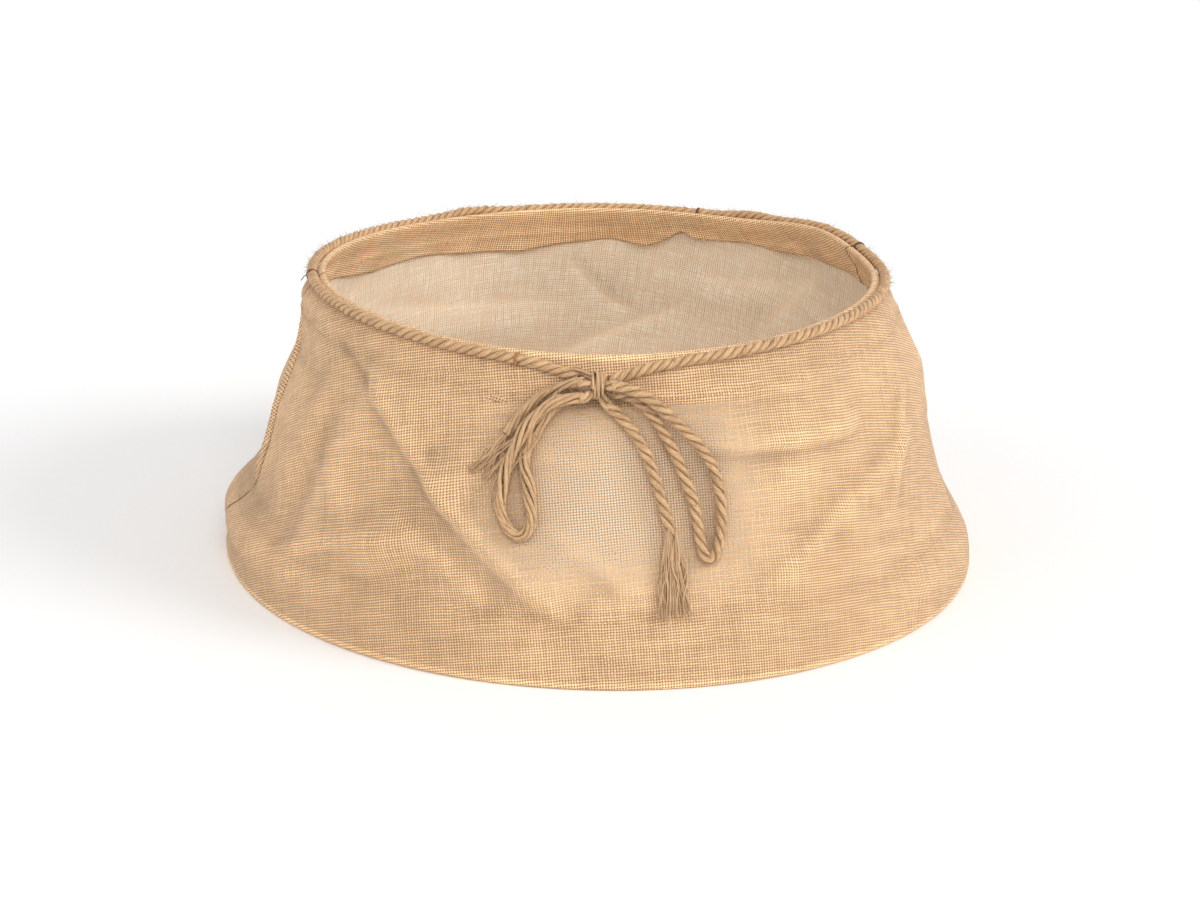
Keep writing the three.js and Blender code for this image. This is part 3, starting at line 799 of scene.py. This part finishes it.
def burlap_finish(cloth):
    """Plain weave. Each thread family is a row of rounded ridges |sin|, lifted and lowered where it passes
    over and under the other by the product of the two sines. Gaps show where both are low, painted with
    shade or with light that comes through."""
    f = Finish("burlap")
    plane = f.node("ShaderNodeUVMap", {}, uv_map="UVMap")
    drift = f.noise(plane, 70.0, 2.0, output=1)
    drift = f.node("ShaderNodeVectorMath", {0: drift, 1: (-0.5, -0.5, -0.5)}, operation="ADD")
    drift = f.node("ShaderNodeVectorMath", {0: drift, "Scale": 0.0016}, operation="SCALE")
    cloth_place = f.node("ShaderNodeVectorMath", {0: plane, 1: drift}, operation="ADD")
    per_metre = 1.0 / cloth.weave_pitch
    threads = f.node("ShaderNodeVectorMath", {0: cloth_place, "Scale": per_metre}, operation="SCALE")
    across, along = f.split(threads)
    warp_wave = f.math("SINE", f.times(across, math.pi))
    weft_wave = f.math("SINE", f.times(along, math.pi))
    warp_body = f.math("ABSOLUTE", warp_wave)
    weft_body = f.math("ABSOLUTE", weft_wave)
    lift = f.times(warp_wave, weft_wave, 0.42)
    warp_height = f.math("ADD", warp_body, lift)
    weft_height = f.math("SUBTRACT", weft_body, lift)
    warp_number = f.times(f.math("FLOOR", across), 3.71)
    weft_number = f.times(f.math("FLOOR", along), 3.71)
    warp_slub = f.noise(f.pack(warp_number, f.times(along, 0.07)), 1.0, 2.0)
    weft_slub = f.noise(f.pack(f.times(across, 0.07), weft_number, 9.0), 1.0, 2.0)

    turned = f.attribute("turned")
    inside = f.attribute("inside")
    outside = f.math("SUBTRACT", 1.0, inside)
    # Painted light through the cloth: where the through attribute is high the gaps open wider and further
    # down are painted bright, with the threads darker against them.
    through = f.times(f.attribute("through"), f.math("SUBTRACT", 1.0, turned))
    openness = f.math("MULTIPLY_ADD", f.times(through, inside), 0.26, 0.88)
    openness = f.math("MULTIPLY_ADD", through, 0.13, openness)

    def gap(body, slub):
        """Where a row of threads is too thin to reach the next: low in the ridge, wider at thin slubs."""
        edge = f.math("MULTIPLY_ADD", slub, -0.70, openness)
        return f.ramp(body, f.math("SUBTRACT", edge, 0.14), f.math("ADD", edge, 0.14), 1.0, 0.0)

    pore = f.times(gap(warp_body, warp_slub), gap(weft_body, weft_slub))
    over = f.ramp(f.math("SUBTRACT", warp_height, weft_height), -0.2, 0.2)
    lit = f.mix(inside, opaque(cloth.outside_colour), opaque(cloth.inside_colour))
    backed = f.mix(inside, opaque(cloth.outside_colour), opaque(cloth.facing_colour))
    base = f.mix(turned, lit, backed)
    warp_tone = f.ramp(warp_slub, 0.25, 0.75, 0.83, 1.14)
    weft_tone = f.ramp(weft_slub, 0.25, 0.75, 0.79, 1.18)
    tone = f.math("ADD", f.times(over, warp_tone),
                  f.times(f.math("SUBTRACT", 1.0, over), weft_tone))
    height = f.math("MAXIMUM", warp_height, weft_height)
    # Painted shade and highlight: each thread darker in its valleys and lighter on its crest.
    shade = f.ramp(height, 0.45, 1.20, 0.42, 1.36)
    # Where light shines through, this painted thread shade is mostly evened out.
    even = f.times(through, 0.90)
    shade = f.math("ADD", f.times(shade, f.math("SUBTRACT", 1.0, even)), even)
    mottle = f.ramp(f.noise(plane, 9.0, 3.0), 0.3, 0.7, 0.93, 1.05)
    # Painted shade: darker in fold hollows, seam grooves and under the knot, lighter on fold ridges; the
    # double hem a little darker than the single wall that light shines through, and threads darker where
    # light shines through behind them.
    painted_shade = f.ramp(f.attribute("painted_shade"), 0.0, 1.0, 1.12, 0.52)
    backing = f.times(turned, outside)
    painted_shade = f.times(painted_shade, f.ramp(backing, 0.0, 1.0, 1.03, 0.94))
    lit_outside = f.times(through, outside)
    painted_shade = f.times(painted_shade, f.ramp(lit_outside, 0.0, 1.0, 1.0, 0.82))
    speck = f.ramp(f.noise(plane, 190.0, 1.0), 0.70, 0.80, 0.0, 0.5)
    brightness = f.times(tone, shade, mottle, painted_shade)
    painted = f.mix(1.0, base, f.pack(brightness, brightness, brightness), "MULTIPLY")
    painted = f.mix(speck, painted, (0.40, 0.20, 0.07, 1.0))
    # Gaps painted with the shade seen through them, or with the light that comes through where the through
    # attribute is high.
    pore_colour = f.mix(through, opaque(cloth.shaded_pore_colour), opaque(cloth.lit_pore_colour))
    colour = f.mix(f.times(pore, 0.94), painted, pore_colour)
    f.feed(f.shader.inputs["Base Color"], colour)
    f.plain(Roughness=0.93, Specular_IOR_Level=0.18, Sheen_Weight=0.12, Sheen_Roughness=0.6)
    f.bump(height, 0.55, 0.0006)
    return f.material


def jute_finish(name, light, dark):
    """Twisted jute: painted shade in the grooves between strands, slanting yarn stripes and long streaks of
    fibre.
    """
    f = Finish(name)
    around, along = f.split(f.node("ShaderNodeUVMap", {}, uv_map="UVMap"))
    yarns = f.math("ADD", f.times(around, 4.0), f.times(along, 70.0))
    yarn_ridge = f.ridge(yarns)
    slanted = f.math("ADD", f.times(around, 9.0), f.times(along, 160.0))
    fibres = f.pack(slanted, f.times(along, 55.0), f.times(around, 5.0))
    streak = f.noise(fibres, 1.6, 3.0)
    # Painted shade: darker where the exposure attribute is low, in the grooves between strands; streaks and
    # tone are the jute's own.
    body = f.times(f.ramp(f.attribute("exposure"), 0.10, 0.90), f.ramp(yarn_ridge, 0.0, 0.6, 0.80, 1.0),
                   f.ramp(streak, 0.25, 0.72, 0.62, 1.14),
                   f.ramp(f.attribute("tone"), 0.0, 1.0, 0.74, 1.16))
    f.feed(f.shader.inputs["Base Color"], f.mix(body, opaque(dark), opaque(light)))
    f.plain(Roughness=0.85, Specular_IOR_Level=0.25, Sheen_Weight=0.2)
    f.bump(f.math("ADD", yarn_ridge, f.times(streak, 1.2)), 0.6, 0.0005)
    return f.material


def thread_finish(name, light, dark):
    """Spun sewing thread with a fine slanting twist, with painted shade between its plies."""
    f = Finish(name)
    around, along = f.split(f.node("ShaderNodeUVMap", {}, uv_map="UVMap"))
    twist = f.math("ADD", f.times(around, 2.0), f.times(along, 900.0))
    ply = f.ridge(twist)
    # Painted shade: darker between the plies, lighter on their tops.
    f.feed(f.shader.inputs["Base Color"], f.mix(ply, opaque(dark), opaque(light)))
    f.plain(Roughness=0.7)
    f.bump(ply, 0.4, 0.0002)
    return f.material


def metal_finish(name, colour, roughness):
    """Drawn or crimped metal with long fine scratches and cloudy tarnish."""
    f = Finish(name)
    place = f.node("ShaderNodeTexCoord", {}, output=3)
    cloud = f.noise(place, 60.0, 3.0)
    tarnish = f.ramp(cloud, 0.3, 0.7, 0.0, 0.35)
    f.feed(f.shader.inputs["Base Color"], f.mix(tarnish, opaque(colour), (0.30, 0.29, 0.27, 1.0)))
    f.feed(f.shader.inputs["Roughness"], f.ramp(cloud, 0.25, 0.75, roughness, roughness + 0.22))
    f.plain(Metallic=1.0)
    f.bump(f.noise(place, 900.0, 1.0), 0.15, 0.0001)
    return f.material


def shared_material(name):
    """One of the collar's finishes, made the first time that it is asked for."""
    if name + "_finish" in bpy.data.materials:
        return bpy.data.materials[name + "_finish"]
    scene = bpy.context.scene
    cloth, rope = scene.collar_cloth, scene.collar_rope
    recipes = {
        "burlap": lambda: burlap_finish(cloth),
        "jute_rope": lambda: jute_finish(name, rope.light_colour, rope.dark_fibre_and_groove_shade),
        "frayed_jute": lambda: jute_finish(name, (0.72, 0.475, 0.27), (0.30, 0.165, 0.072)),
        "sewing_thread": lambda: thread_finish(name, (0.62, 0.41, 0.225), (0.42, 0.26, 0.125)),
        "tack_thread": lambda: thread_finish(name, (0.20, 0.105, 0.045), (0.08, 0.04, 0.018)),
        "orange_thread": lambda: thread_finish(name, (0.50, 0.24, 0.09), (0.32, 0.14, 0.05)),
        "spring_wire": lambda: metal_finish(name, (0.55, 0.56, 0.57), 0.28),
        "ferrule_metal": lambda: metal_finish(name, (0.72, 0.73, 0.74), 0.32),
    }
    return recipes[name]()


# ---- operators -------------------------------------------------------------------------------


class COLLAR_OT_studio(bpy.types.Operator):
    """Set the camera, the pale floor and the soft lights"""

    bl_idname = "collar.studio"
    bl_label = "Studio"

    def execute(self, context):
        studio = context.scene.collar_studio
        camera_data = bpy.data.cameras.new("camera")
        camera_data.lens = studio.lens
        camera_data.sensor_width = 36.0
        camera_data.clip_end = 50.0
        camera = bpy.data.objects.new("camera", camera_data)
        camera.rotation_mode = "ZYX"
        camera.location = studio.viewpoint
        camera.rotation_euler = (math.pi / 2 - studio.look_down, 0.0, studio.roll)
        context.scene.collection.objects.link(camera)
        context.scene.camera = camera
        self.floor(studio)
        self.soft_light("key_light", (0.85, -0.25, 0.50), 26.0, studio.key_strength)
        self.soft_light("front_light", (0.10, -0.78, 0.62), 34.0, studio.front_strength)
        self.soft_light("fill_light", (-0.75, -0.45, 0.48), 44.0, studio.fill_strength)
        world = bpy.data.worlds.new("studio_light")
        context.scene.world = world
        world.use_nodes = True
        world.node_tree.nodes["Background"].inputs["Color"].default_value = (1.0, 1.0, 1.0, 1.0)
        world.node_tree.nodes["Background"].inputs["Strength"].default_value = studio.sky_strength
        context.scene.view_settings.view_transform = "Standard"
        return {"FINISHED"}

    def floor(self, studio):
        """A flat square floor, sixty metres each way."""
        finish = Finish("pale_floor")
        grain = finish.ramp(finish.noise(finish.node("ShaderNodeTexCoord", {}, output=3), 3.0), 0.3, 0.7)
        colour = opaque(studio.floor_colour)
        mottled = finish.mix(grain, colour, tuple(0.995 * c for c in colour))
        finish.feed(finish.shader.inputs["Base Color"], mottled)
        finish.plain(Roughness=0.9, Specular_IOR_Level=0.1)
        reach = 60.0
        corners = [(-reach, -reach, 0.0), (reach, -reach, 0.0), (reach, reach, 0.0), (-reach, reach, 0.0)]
        square = [(0.0, 0.0), (1.0, 0.0), (1.0, 1.0), (0.0, 1.0)]
        piece = mesh_piece("floor", corners, [(0, 1, 2, 3)], square, {}, [finish.material])

    def soft_light(self, name, source, spread, strength):
        """A distant light that comes from the source direction, softened over spread degrees."""
        light = bpy.data.lights.new(name, "SUN")
        light.angle = math.radians(spread)
        light.energy = strength
        lamp = bpy.data.objects.new(name, light)
        lamp.location = 3.0 * np.array(source)
        level = math.hypot(source[0], source[1])
        lamp.rotation_euler = (math.atan2(level, source[2]), 0.0, math.atan2(source[0], -source[1]))
        bpy.context.scene.collection.objects.link(lamp)


class COLLAR_OT_bow(bpy.types.Operator):
    """Make the two loops and the two tails of the bow"""

    bl_idname = "collar.bow"
    bl_label = "Bow loops and tails"

    def execute(self, context):
        rope = context.scene.collar_rope
        parts = [
            ("left_loop", LEFT_LOOP, LEFT_LOOP_LENGTH, 0.095, 0.00055, "object"),
            ("right_loop", RIGHT_LOOP, RIGHT_LOOP_LENGTH, rope.bow_lay, 0.00008, "object"),
            ("left_tail", LEFT_TAIL, LEFT_TAIL_LENGTH, 0.085, 0.00060, "bare"),
            ("right_tail", RIGHT_TAIL, RIGHT_TAIL_LENGTH, rope.bow_lay, 0.00012, "bare"),
        ]
        for seed, (name, route, length, lay, loosen, far_end) in enumerate(parts, start=21):
            path = smooth_path(on_wall(route), 0.0012)
            outward = radial(path)
            radius = 0.5 * rope.diameter
            piece = strand_rope(name + "_rope", path, outward, radius, lay, shared_material("jute_rope"),
                                loosen, strands=6 if loosen > 0.0003 else 3, seed=seed)
            fuzz = rope_hairs(name + "_hairs", path, outward, radius, 2 * rope.hair_count,
                              shared_material("frayed_jute"), seed + 40)
            with_pieces = self.fray(name) if name.endswith("tail") else []
            for made in (piece, fuzz):
                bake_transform(made)
            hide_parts(name)
        return {"FINISHED"}

    def fray(self, name):
        """The unlaid end of a tail: yarns that leave the rope's end and spread over the cloth."""
        piece = self.left_fray() if name == "left_tail" else self.right_fray()
        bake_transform(piece)
        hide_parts(name + "_fray")
        return [piece]

    def yarn_fan(self, name, roots, tips, lifts, radii, seed, waviness):
        """Yarns from roots to tips, as x and height on the wall. Between them each yarn bows aside in
        slow waves and settles from its root's lift to the cloth."""
        rng = np.random.default_rng(seed)
        count, steps = len(roots), 22
        t = np.linspace(0.0, 1.0, steps)[None, :]
        flat = roots[:, None, :] * (1.0 - t[..., None]) + tips[:, None, :] * t[..., None]
        across = unit((tips - roots) @ np.array([[0.0, 1.0], [-1.0, 0.0]]))
        wave = np.sin(2.0 * math.pi * (rng.uniform(0.5, 1.5, (count, 1)) * t + rng.random((count, 1))))
        wave = wave * np.sin(math.pi * t) * rng.uniform(-1.0, 1.0, (count, 1)) * waviness
        flat = flat + wave[..., None] * across[:, None, :]
        settle = lifts[:, None] * (1.0 - 0.55 * smoothstep(0.0, 1.0, t))
        settle = settle + 0.0009 * np.sin(9.0 * t + 6.0 * rng.random((count, 1)))
        centres = lay_on_cloth(flat[..., 0], flat[..., 1], np.maximum(settle, 0.0022))
        taper = 1.0 - 0.45 * smoothstep(0.6, 1.0, t)
        tone = np.repeat(rng.uniform(0.0, 1.0, (count, 1)), steps, axis=1)
        return tubes(name, centres, radii[:, None] * taper, radial(centres), 6,
                     shared_material("frayed_jute"), tone)

    def left_fray(self):
        """Loose yarns of the left tail: some leave its end and some run down from near the knot."""
        rng = np.random.default_rng(71)
        count = 30
        tips = np.tile(np.array(LEFT_FRAY_TIPS), (6, 1)) + rng.normal(0.0, 0.0013, (count, 2))
        roots = np.array(LEFT_FRAY_ROOT) + rng.uniform(-0.0032, 0.0032, (count, 2))
        roots[:10] = np.array([-0.0340, 0.2290]) + rng.uniform(-0.0035, 0.0035, (10, 2))
        lifts = rng.uniform(0.006, 0.011, count)
        lifts[:10] += 0.006
        radii = rng.uniform(0.00060, 0.00105, count)
        return self.yarn_fan("left_tail_fray_yarns", roots, tips, lifts, radii, 72, 0.0034)

    def right_fray(self):
        """The right tail's brush: wavy yarns from the rope's end to an uneven bottom edge."""
        rng = np.random.default_rng(81)
        count = 64
        spread = rng.random((count, 1))
        left, right = (np.array(corner) for corner in RIGHT_FRAY_TIPS)
        tips = left + spread * (right - left) + rng.normal(0.0, 1.0, (count, 2)) * (0.0016, 0.0042)
        scatter = np.hstack([(spread - 0.5) * 0.0078, rng.uniform(0.0, 0.008, (count, 1))])
        roots = np.array(RIGHT_FRAY_ROOT) + scatter
        lifts = rng.uniform(0.0040, 0.0115, count)
        radii = rng.uniform(0.00042, 0.00085, count)
        return self.yarn_fan("right_tail_fray_yarns", roots, tips, lifts, radii, 82, 0.0052)


class COLLAR_OT_knot(bpy.types.Operator):
    """Make the bow's knot, its cut stub and the rope ends that run into it"""

    bl_idname = "collar.knot"
    bl_label = "Bow knot"

    def execute(self, context):
        rope = context.scene.collar_rope
        made = [self.wrap(), self.stub()] + self.ends(rope)
        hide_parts("bow_knot")
        for piece in made:
            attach(piece, "top_ring")
        return {"FINISHED"}

    def wrap(self):
        """The band over the knot: two and a half turns of loose rope round an axis that runs sideways, at
        KNOT_CENTRE plus depth times cosine forward and height times sine up."""
        turns = np.linspace(0.0, 2.5, 210) * 2.0 * math.pi
        side = -0.0034 + 0.0068 * turns / turns[-1] + 0.0009 * np.sin(turns)
        forward = -0.0078 * np.cos(turns)
        up = 0.0086 * np.sin(turns)
        path = KNOT_CENTRE + np.stack([side, forward, up], axis=-1)
        outward = unit(np.stack([0.0 * side, forward, up], axis=-1))
        return strand_rope("knot_wrap", path, outward, 0.0031, 0.07, shared_material("jute_rope"), 0.0004,
                           strands=5, seed=31)

    def stub(self):
        """The short cut end that points up and to the left."""
        points = [(0.001, 0.003, 0.003), (-0.006, 0.004, 0.0065), (-0.013, 0.0055, 0.0105),
                  (-0.0195, 0.007, 0.0135)]
        path = smooth_path(KNOT_CENTRE + np.array(points), 0.0008)
        reach = np.linspace(0.0, 1.0, len(path))
        radius = 0.0030 - 0.0006 * reach
        return strand_rope("knot_stub", path, radial(path), radius, 0.06,
                           shared_material("jute_rope"), 0.0003, seed=32)

    def ends(self, rope):
        """Short lengths from each loop and tail into the wrap, squeezed thinner as they go in."""
        left, right = LEFT_LOOP, RIGHT_LOOP
        starts = [left[0], left[-1], LEFT_TAIL[0], right[0], right[-1], RIGHT_TAIL[0]]
        nexts = [left[1], left[-2], LEFT_TAIL[1], right[1], right[-2], RIGHT_TAIL[1]]
        pieces = []
        for number, (start, beyond) in enumerate(zip(starts, nexts)):
            ends = on_wall([beyond, start])
            inner = KNOT_CENTRE + 0.28 * (ends[1] - KNOT_CENTRE) * np.array([1.0, 0.6, 0.6])
            middle = 0.5 * (ends[1] + inner) + 0.10 * (ends[1] - ends[0])
            outer = ends[0] + 0.7 * (ends[1] - ends[0])
            path = smooth_path(np.array([outer, ends[1], middle, inner]), 0.0008)
            squeeze = np.linspace(0.0, 1.0, len(path))
            radius = 0.5 * rope.diameter * (1.0 - 0.42 * smoothstep(0.15, 1.0, squeeze))
            name = "knot_end_%d" % (number + 1)
            pieces.append(strand_rope(name, path, radial(path), radius, 0.05,
                                      shared_material("jute_rope"), 0.0002, seed=33 + number))
            pieces.append(rope_hairs(name + "_hairs", path, radial(path), radius, 4200,
                                     shared_material("frayed_jute"), 90 + number))
        return pieces


def neck_path(spacing):
    """The neck rope's middle: it follows the rim, 3 mm below its crest, dips to the knot with
    depth / (1 + (turn / width)^2) and hangs a little off the rim between the tacks at the back."""
    turn = np.linspace(2.0, 358.0, 720)
    azimuth = BOW_AT + turn
    off_knot = turn_between(azimuth, BOW_AT)
    slack = np.exp(-((turn_between(azimuth, 56.0) / 5.5) ** 2))
    slack = slack + np.exp(-((turn_between(azimuth, 121.0) / 6.5) ** 2))
    height = HEIGHT - 0.0015 - 0.0165 / (1.0 + (off_knot / 8.5) ** 2) + 0.0028 * slack
    press = smoothstep(0.244, 0.252, height)
    hem = surface_point(azimuth, np.minimum(height, HEIGHT - 0.005), 0.0)
    radius = np.hypot(hem[:, 0], hem[:, 1]) + ROPE_STAND_OFF * (0.86 - 0.14 * press) + 0.0022 * slack
    lift = rim_lift(azimuth)
    spin = np.radians(azimuth)
    points = np.stack([radius * np.cos(spin), radius * np.sin(spin), height + lift], axis=-1)
    return smooth_path(points[::4], spacing)


class COLLAR_OT_neck_rope(bpy.types.Operator):
    """Make the rope round the neck and the thread tacks that hold it"""

    bl_idname = "collar.neck_rope"
    bl_label = "Neck rope and tacks"

    def execute(self, context):
        rope = context.scene.collar_rope
        path = neck_path(0.0013)
        outward = radial(path)
        radius = 0.5 * rope.diameter
        strands = strand_rope("neck_rope_strands", path, outward, radius, rope.neck_lay,
                              shared_material("jute_rope"), 0.00010, seed=51)
        fuzz = rope_hairs("neck_rope_hairs", path, outward + 0.5 * np.array([0.0, 0.0, 1.0]), radius,
                          rope.hair_count, shared_material("frayed_jute"), 52)
        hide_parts("neck_rope")
        for piece in (strands, fuzz):
            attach(piece, "top_ring")
        for name, azimuth in TACK_AZIMUTHS.items():
            self.tack(name, azimuth, path, radius)
        return {"FINISHED"}

    def tack(self, name, azimuth, path, radius):
        """Three turns of thread round the rope, with a loose cut end, at one azimuth."""
        spin = np.degrees(np.arctan2(path[:, 1], path[:, 0]))
        place = int(np.argmin(np.abs(turn_between(spin, azimuth))))
        centre, forward = path[place], unit(path[place + 1] - path[place - 1])
        outward = radial(centre)
        upward = np.cross(outward, forward)
        turns = np.linspace(0.0, 3.0, 120) * 2.0 * math.pi
        side = -0.0014 + 0.0028 * turns / turns[-1]
        reach = radius + 0.0003
        loop = (centre + side[:, None] * forward + reach * np.cos(turns)[:, None] * outward
                + reach * np.sin(turns)[:, None] * upward)
        droop = np.array([[0.2, 0.0], [0.6, 0.3], [1.0, 0.9]]) @ np.array([outward, -upward])
        tail_end = loop[-1] + droop * 0.005
        centres = smooth_path(np.concatenate([loop, tail_end]), 0.0008)[None]
        colour = "orange_thread" if name == "rope_tack_front" else "tack_thread"
        radii = np.full(centres.shape[:2], 0.00045)
        axis = np.broadcast_to(forward, centres.shape)
        piece = tubes(name + "_thread", centres, radii, axis, 6, shared_material(colour))
        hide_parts(name)
        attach(piece, "top_ring")


class COLLAR_OT_cloth(bpy.types.Operator):
    """Make the front and back panels of burlap with their turned hems"""

    bl_idname = "collar.cloth"
    bl_label = "Burlap panels"

    def execute(self, context):
        cloth = context.scene.collar_cloth
        gap = 0.12

        def beside(seam, turn):
            """A seam's azimuth at each height, turned aside so that the two panels stay apart."""
            return lambda height: seam(height) + turn

        front = panel_columns(190.0, 0.66)
        back = panel_columns(170.0, 0.66)
        self.panel("front", beside(left_seam_azimuth, gap), beside(right_seam_azimuth, 360.0 - gap),
                   front, cloth, (0.0012, 0.0018), (1.16, 0.395), 0.395)
        self.panel("back", beside(right_seam_azimuth, gap), beside(left_seam_azimuth, -gap),
                   back, cloth, (0.0018, 0.0052), (1.04, 0.395), 0.354)
        return {"FINISHED"}

    def panel(self, name, seam_from, seam_to, columns, cloth, lips, flat_size, flat_area):
        """One panel, with the sheet that it was cut from laid out as its UV map."""
        middle_and_paint = cloth_middle(seam_from, seam_to, columns, cloth, lips)
        piece = cloth_shell(name + "_cloth", *middle_and_paint, cloth.thickness, shared_material("burlap"))
        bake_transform(piece)
        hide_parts(name + "_panel", name + "_top_hem", name + "_bottom_hem")


class COLLAR_OT_seams(bpy.types.Operator):
    """Make the folded allowances inside the side seams and all the rows of stitches"""

    bl_idname = "collar.seams"
    bl_label = "Seams and stitches"

    def execute(self, context):
        cloth = context.scene.collar_cloth
        for name, seam in (("left", left_seam_azimuth), ("right", right_seam_azimuth)):
            self.allowance(name, seam, cloth)
            self.seam_stitches(name, seam, cloth)
        self.hem_stitches("top_hem", CASING_LINE - 0.006, "top_ring", cloth)
        self.hem_stitches("bottom_hem", BOTTOM_HEM - 0.006, "base", cloth)
        return {"FINISHED"}

    def allowance(self, name, seam, cloth):
        """Two raw edges pressed to one side of the seam: a strip that lies inside the wall, wavy at
        its free edge."""
        height = np.linspace(BOTTOM_HEM + 0.0015, 0.2185, 90)[:, None]
        t = np.linspace(0.0, 1.0, 9)[None, :]
        width = 0.0125 + 0.0012 * np.sin(height * 210.0) + 0.0008 * np.sin(height * 430.0)
        azimuth = seam(height) - np.degrees(t * width / wall_radius(height))
        depth = -0.0027 - 0.0009 * t**2 * (1.0 + 0.6 * np.sin(height * 260.0))
        middle = surface_point(azimuth, height + 0.0 * t, cloth.ripple, depth)
        flat = np.stack([t * width + 0.0 * height, height + 0.0 * t], axis=-1)
        ones = np.ones(middle.shape[:2])
        piece = cloth_shell(name + "_seam_edges", middle, flat, ones, ones, 0.3 * ones, 0.0 * ones, 0.0022,
                            shared_material("burlap"))
        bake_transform(piece)
        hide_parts(name + "_seam_allowance")

    def seam_stitches(self, name, seam, cloth):
        """Short stitches in a row along the inside of the seam, sunk into the cloth at both ends."""
        middle = np.arange(BOTTOM_HEM + 0.004, 0.216, 0.0034)
        t = np.linspace(-0.5, 0.5, 5)[None, :]
        height = middle[:, None] + 0.0028 * t
        azimuth = seam(height) - 0.45
        sink = -0.0040 + 0.0010 * (2.0 * t) ** 4
        centres = surface_point(azimuth, height, cloth.ripple, sink)
        radii = np.full(height.shape, 0.00036)
        piece = tubes(name + "_seam_stitches", centres, radii, radial(centres), 6,
                      shared_material("sewing_thread"))
        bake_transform(piece)
        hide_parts(name + "_seam_thread")

    def hem_stitches(self, name, level, body, cloth):
        """Short stitches all round a hem on the outside of the wall, sunk at both ends."""
        count = int(2.0 * math.pi * wall_radius(level) / 0.0046)
        start = np.arange(count)[:, None] * (360.0 / count)
        t = np.linspace(-0.5, 0.5, 5)[None, :]
        azimuth = start + t * (360.0 / count) * 0.72
        sink = 0.0003 - 0.0009 * (2.0 * t) ** 4
        centres = surface_point(azimuth, level + 0.0 * azimuth, cloth.ripple, sink)
        radii = np.full(azimuth.shape, 0.00034)
        piece = tubes(name + "_stitches", centres, radii, radial(centres), 5,
                      shared_material("sewing_thread"))
        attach(piece, body)
        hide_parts(name + "_thread")


class COLLAR_OT_hoops(bpy.types.Operator):
    """Make the spring wire hoops and their ferrules inside the hems"""

    bl_idname = "collar.hoops"
    bl_label = "Hoops"

    def execute(self, context):
        self.hoop("top_hoop", CREST, CREST_RADIUS, 72.0, "top_ring", context)
        self.hoop("bottom_hoop", FOOT, FOLD_RADIUS, 36.0, "base", context)
        return {"FINISHED"}

    def hoop(self, name, level, fold, join, body, context):
        """Wire in the middle of a hem's fold, a ring that follows the rim, and its crimped sleeve."""
        azimuth = join + np.linspace(0.4, 359.6, 361)
        inward = -fold - 0.5 * context.scene.collar_cloth.thickness
        centres = surface_point(azimuth, np.full(azimuth.shape, level), 0.0, inward)[None]
        radii = np.full(centres.shape[:2], HOOP_WIRE)
        wire = tubes(name + "_wire", centres, radii, radial(centres), 10, shared_material("spring_wire"))
        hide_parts(name)
        span = np.linspace(-2.6, 2.6, 21)
        along = surface_point(join + span, np.full(span.shape, level), 0.0, inward)[None]
        crimp = 0.0025 - 0.0003 * np.exp(-((np.abs(span) - 1.3) / 0.35) ** 2)
        sleeve = tubes(name + "_sleeve", along, crimp[None], radial(along), 14,
                       shared_material("ferrule_metal"))
        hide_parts(name + "_ferrule")
        for piece in (wire, sleeve):
            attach(piece, body)


class COLLAR_PT_sidebar(bpy.types.Panel):
    """Buttons for the collar's pieces"""

    bl_label = "Burlap tree collar"
    bl_idname = "COLLAR_PT_sidebar"
    bl_space_type = "VIEW_3D"
    bl_region_type = "UI"
    bl_category = "Collar"

    def draw(self, context):
        for operator in OPERATORS:
            self.layout.operator(operator.bl_idname)
        for settings in ("collar_cloth", "collar_rope", "collar_studio"):
            group = getattr(context.scene, settings)
            for key in group.bl_rna.properties.keys():
                if key not in ("name", "rna_type"):
                    self.layout.prop(group, key)


OPERATORS = (COLLAR_OT_studio, COLLAR_OT_bow, COLLAR_OT_knot, COLLAR_OT_neck_rope, COLLAR_OT_cloth,
             COLLAR_OT_seams, COLLAR_OT_hoops)
SETTINGS = {"collar_cloth": ClothSettings, "collar_rope": RopeSettings, "collar_studio": StudioSettings}


def register():
    """Register the settings, the operators and the panel."""
    for key, group in SETTINGS.items():
        bpy.utils.register_class(group)
        setattr(bpy.types.Scene, key, bpy.props.PointerProperty(type=group))
    for kind in OPERATORS + (COLLAR_PT_sidebar,):
        bpy.utils.register_class(kind)


def unregister():
    """Take away everything that register added."""
    for kind in reversed(OPERATORS + (COLLAR_PT_sidebar,)):
        bpy.utils.unregister_class(kind)
    for key, group in SETTINGS.items():
        delattr(bpy.types.Scene, key)
        bpy.utils.unregister_class(group)


def main():
    """Make every piece in order."""
    register()
    bpy.ops.collar.studio()
    bpy.ops.collar.bow()
    bpy.ops.collar.knot()
    bpy.ops.collar.neck_rope()
    bpy.ops.collar.cloth()
    bpy.ops.collar.seams()
    bpy.ops.collar.hoops()


if __name__ == "__main__":
    main()
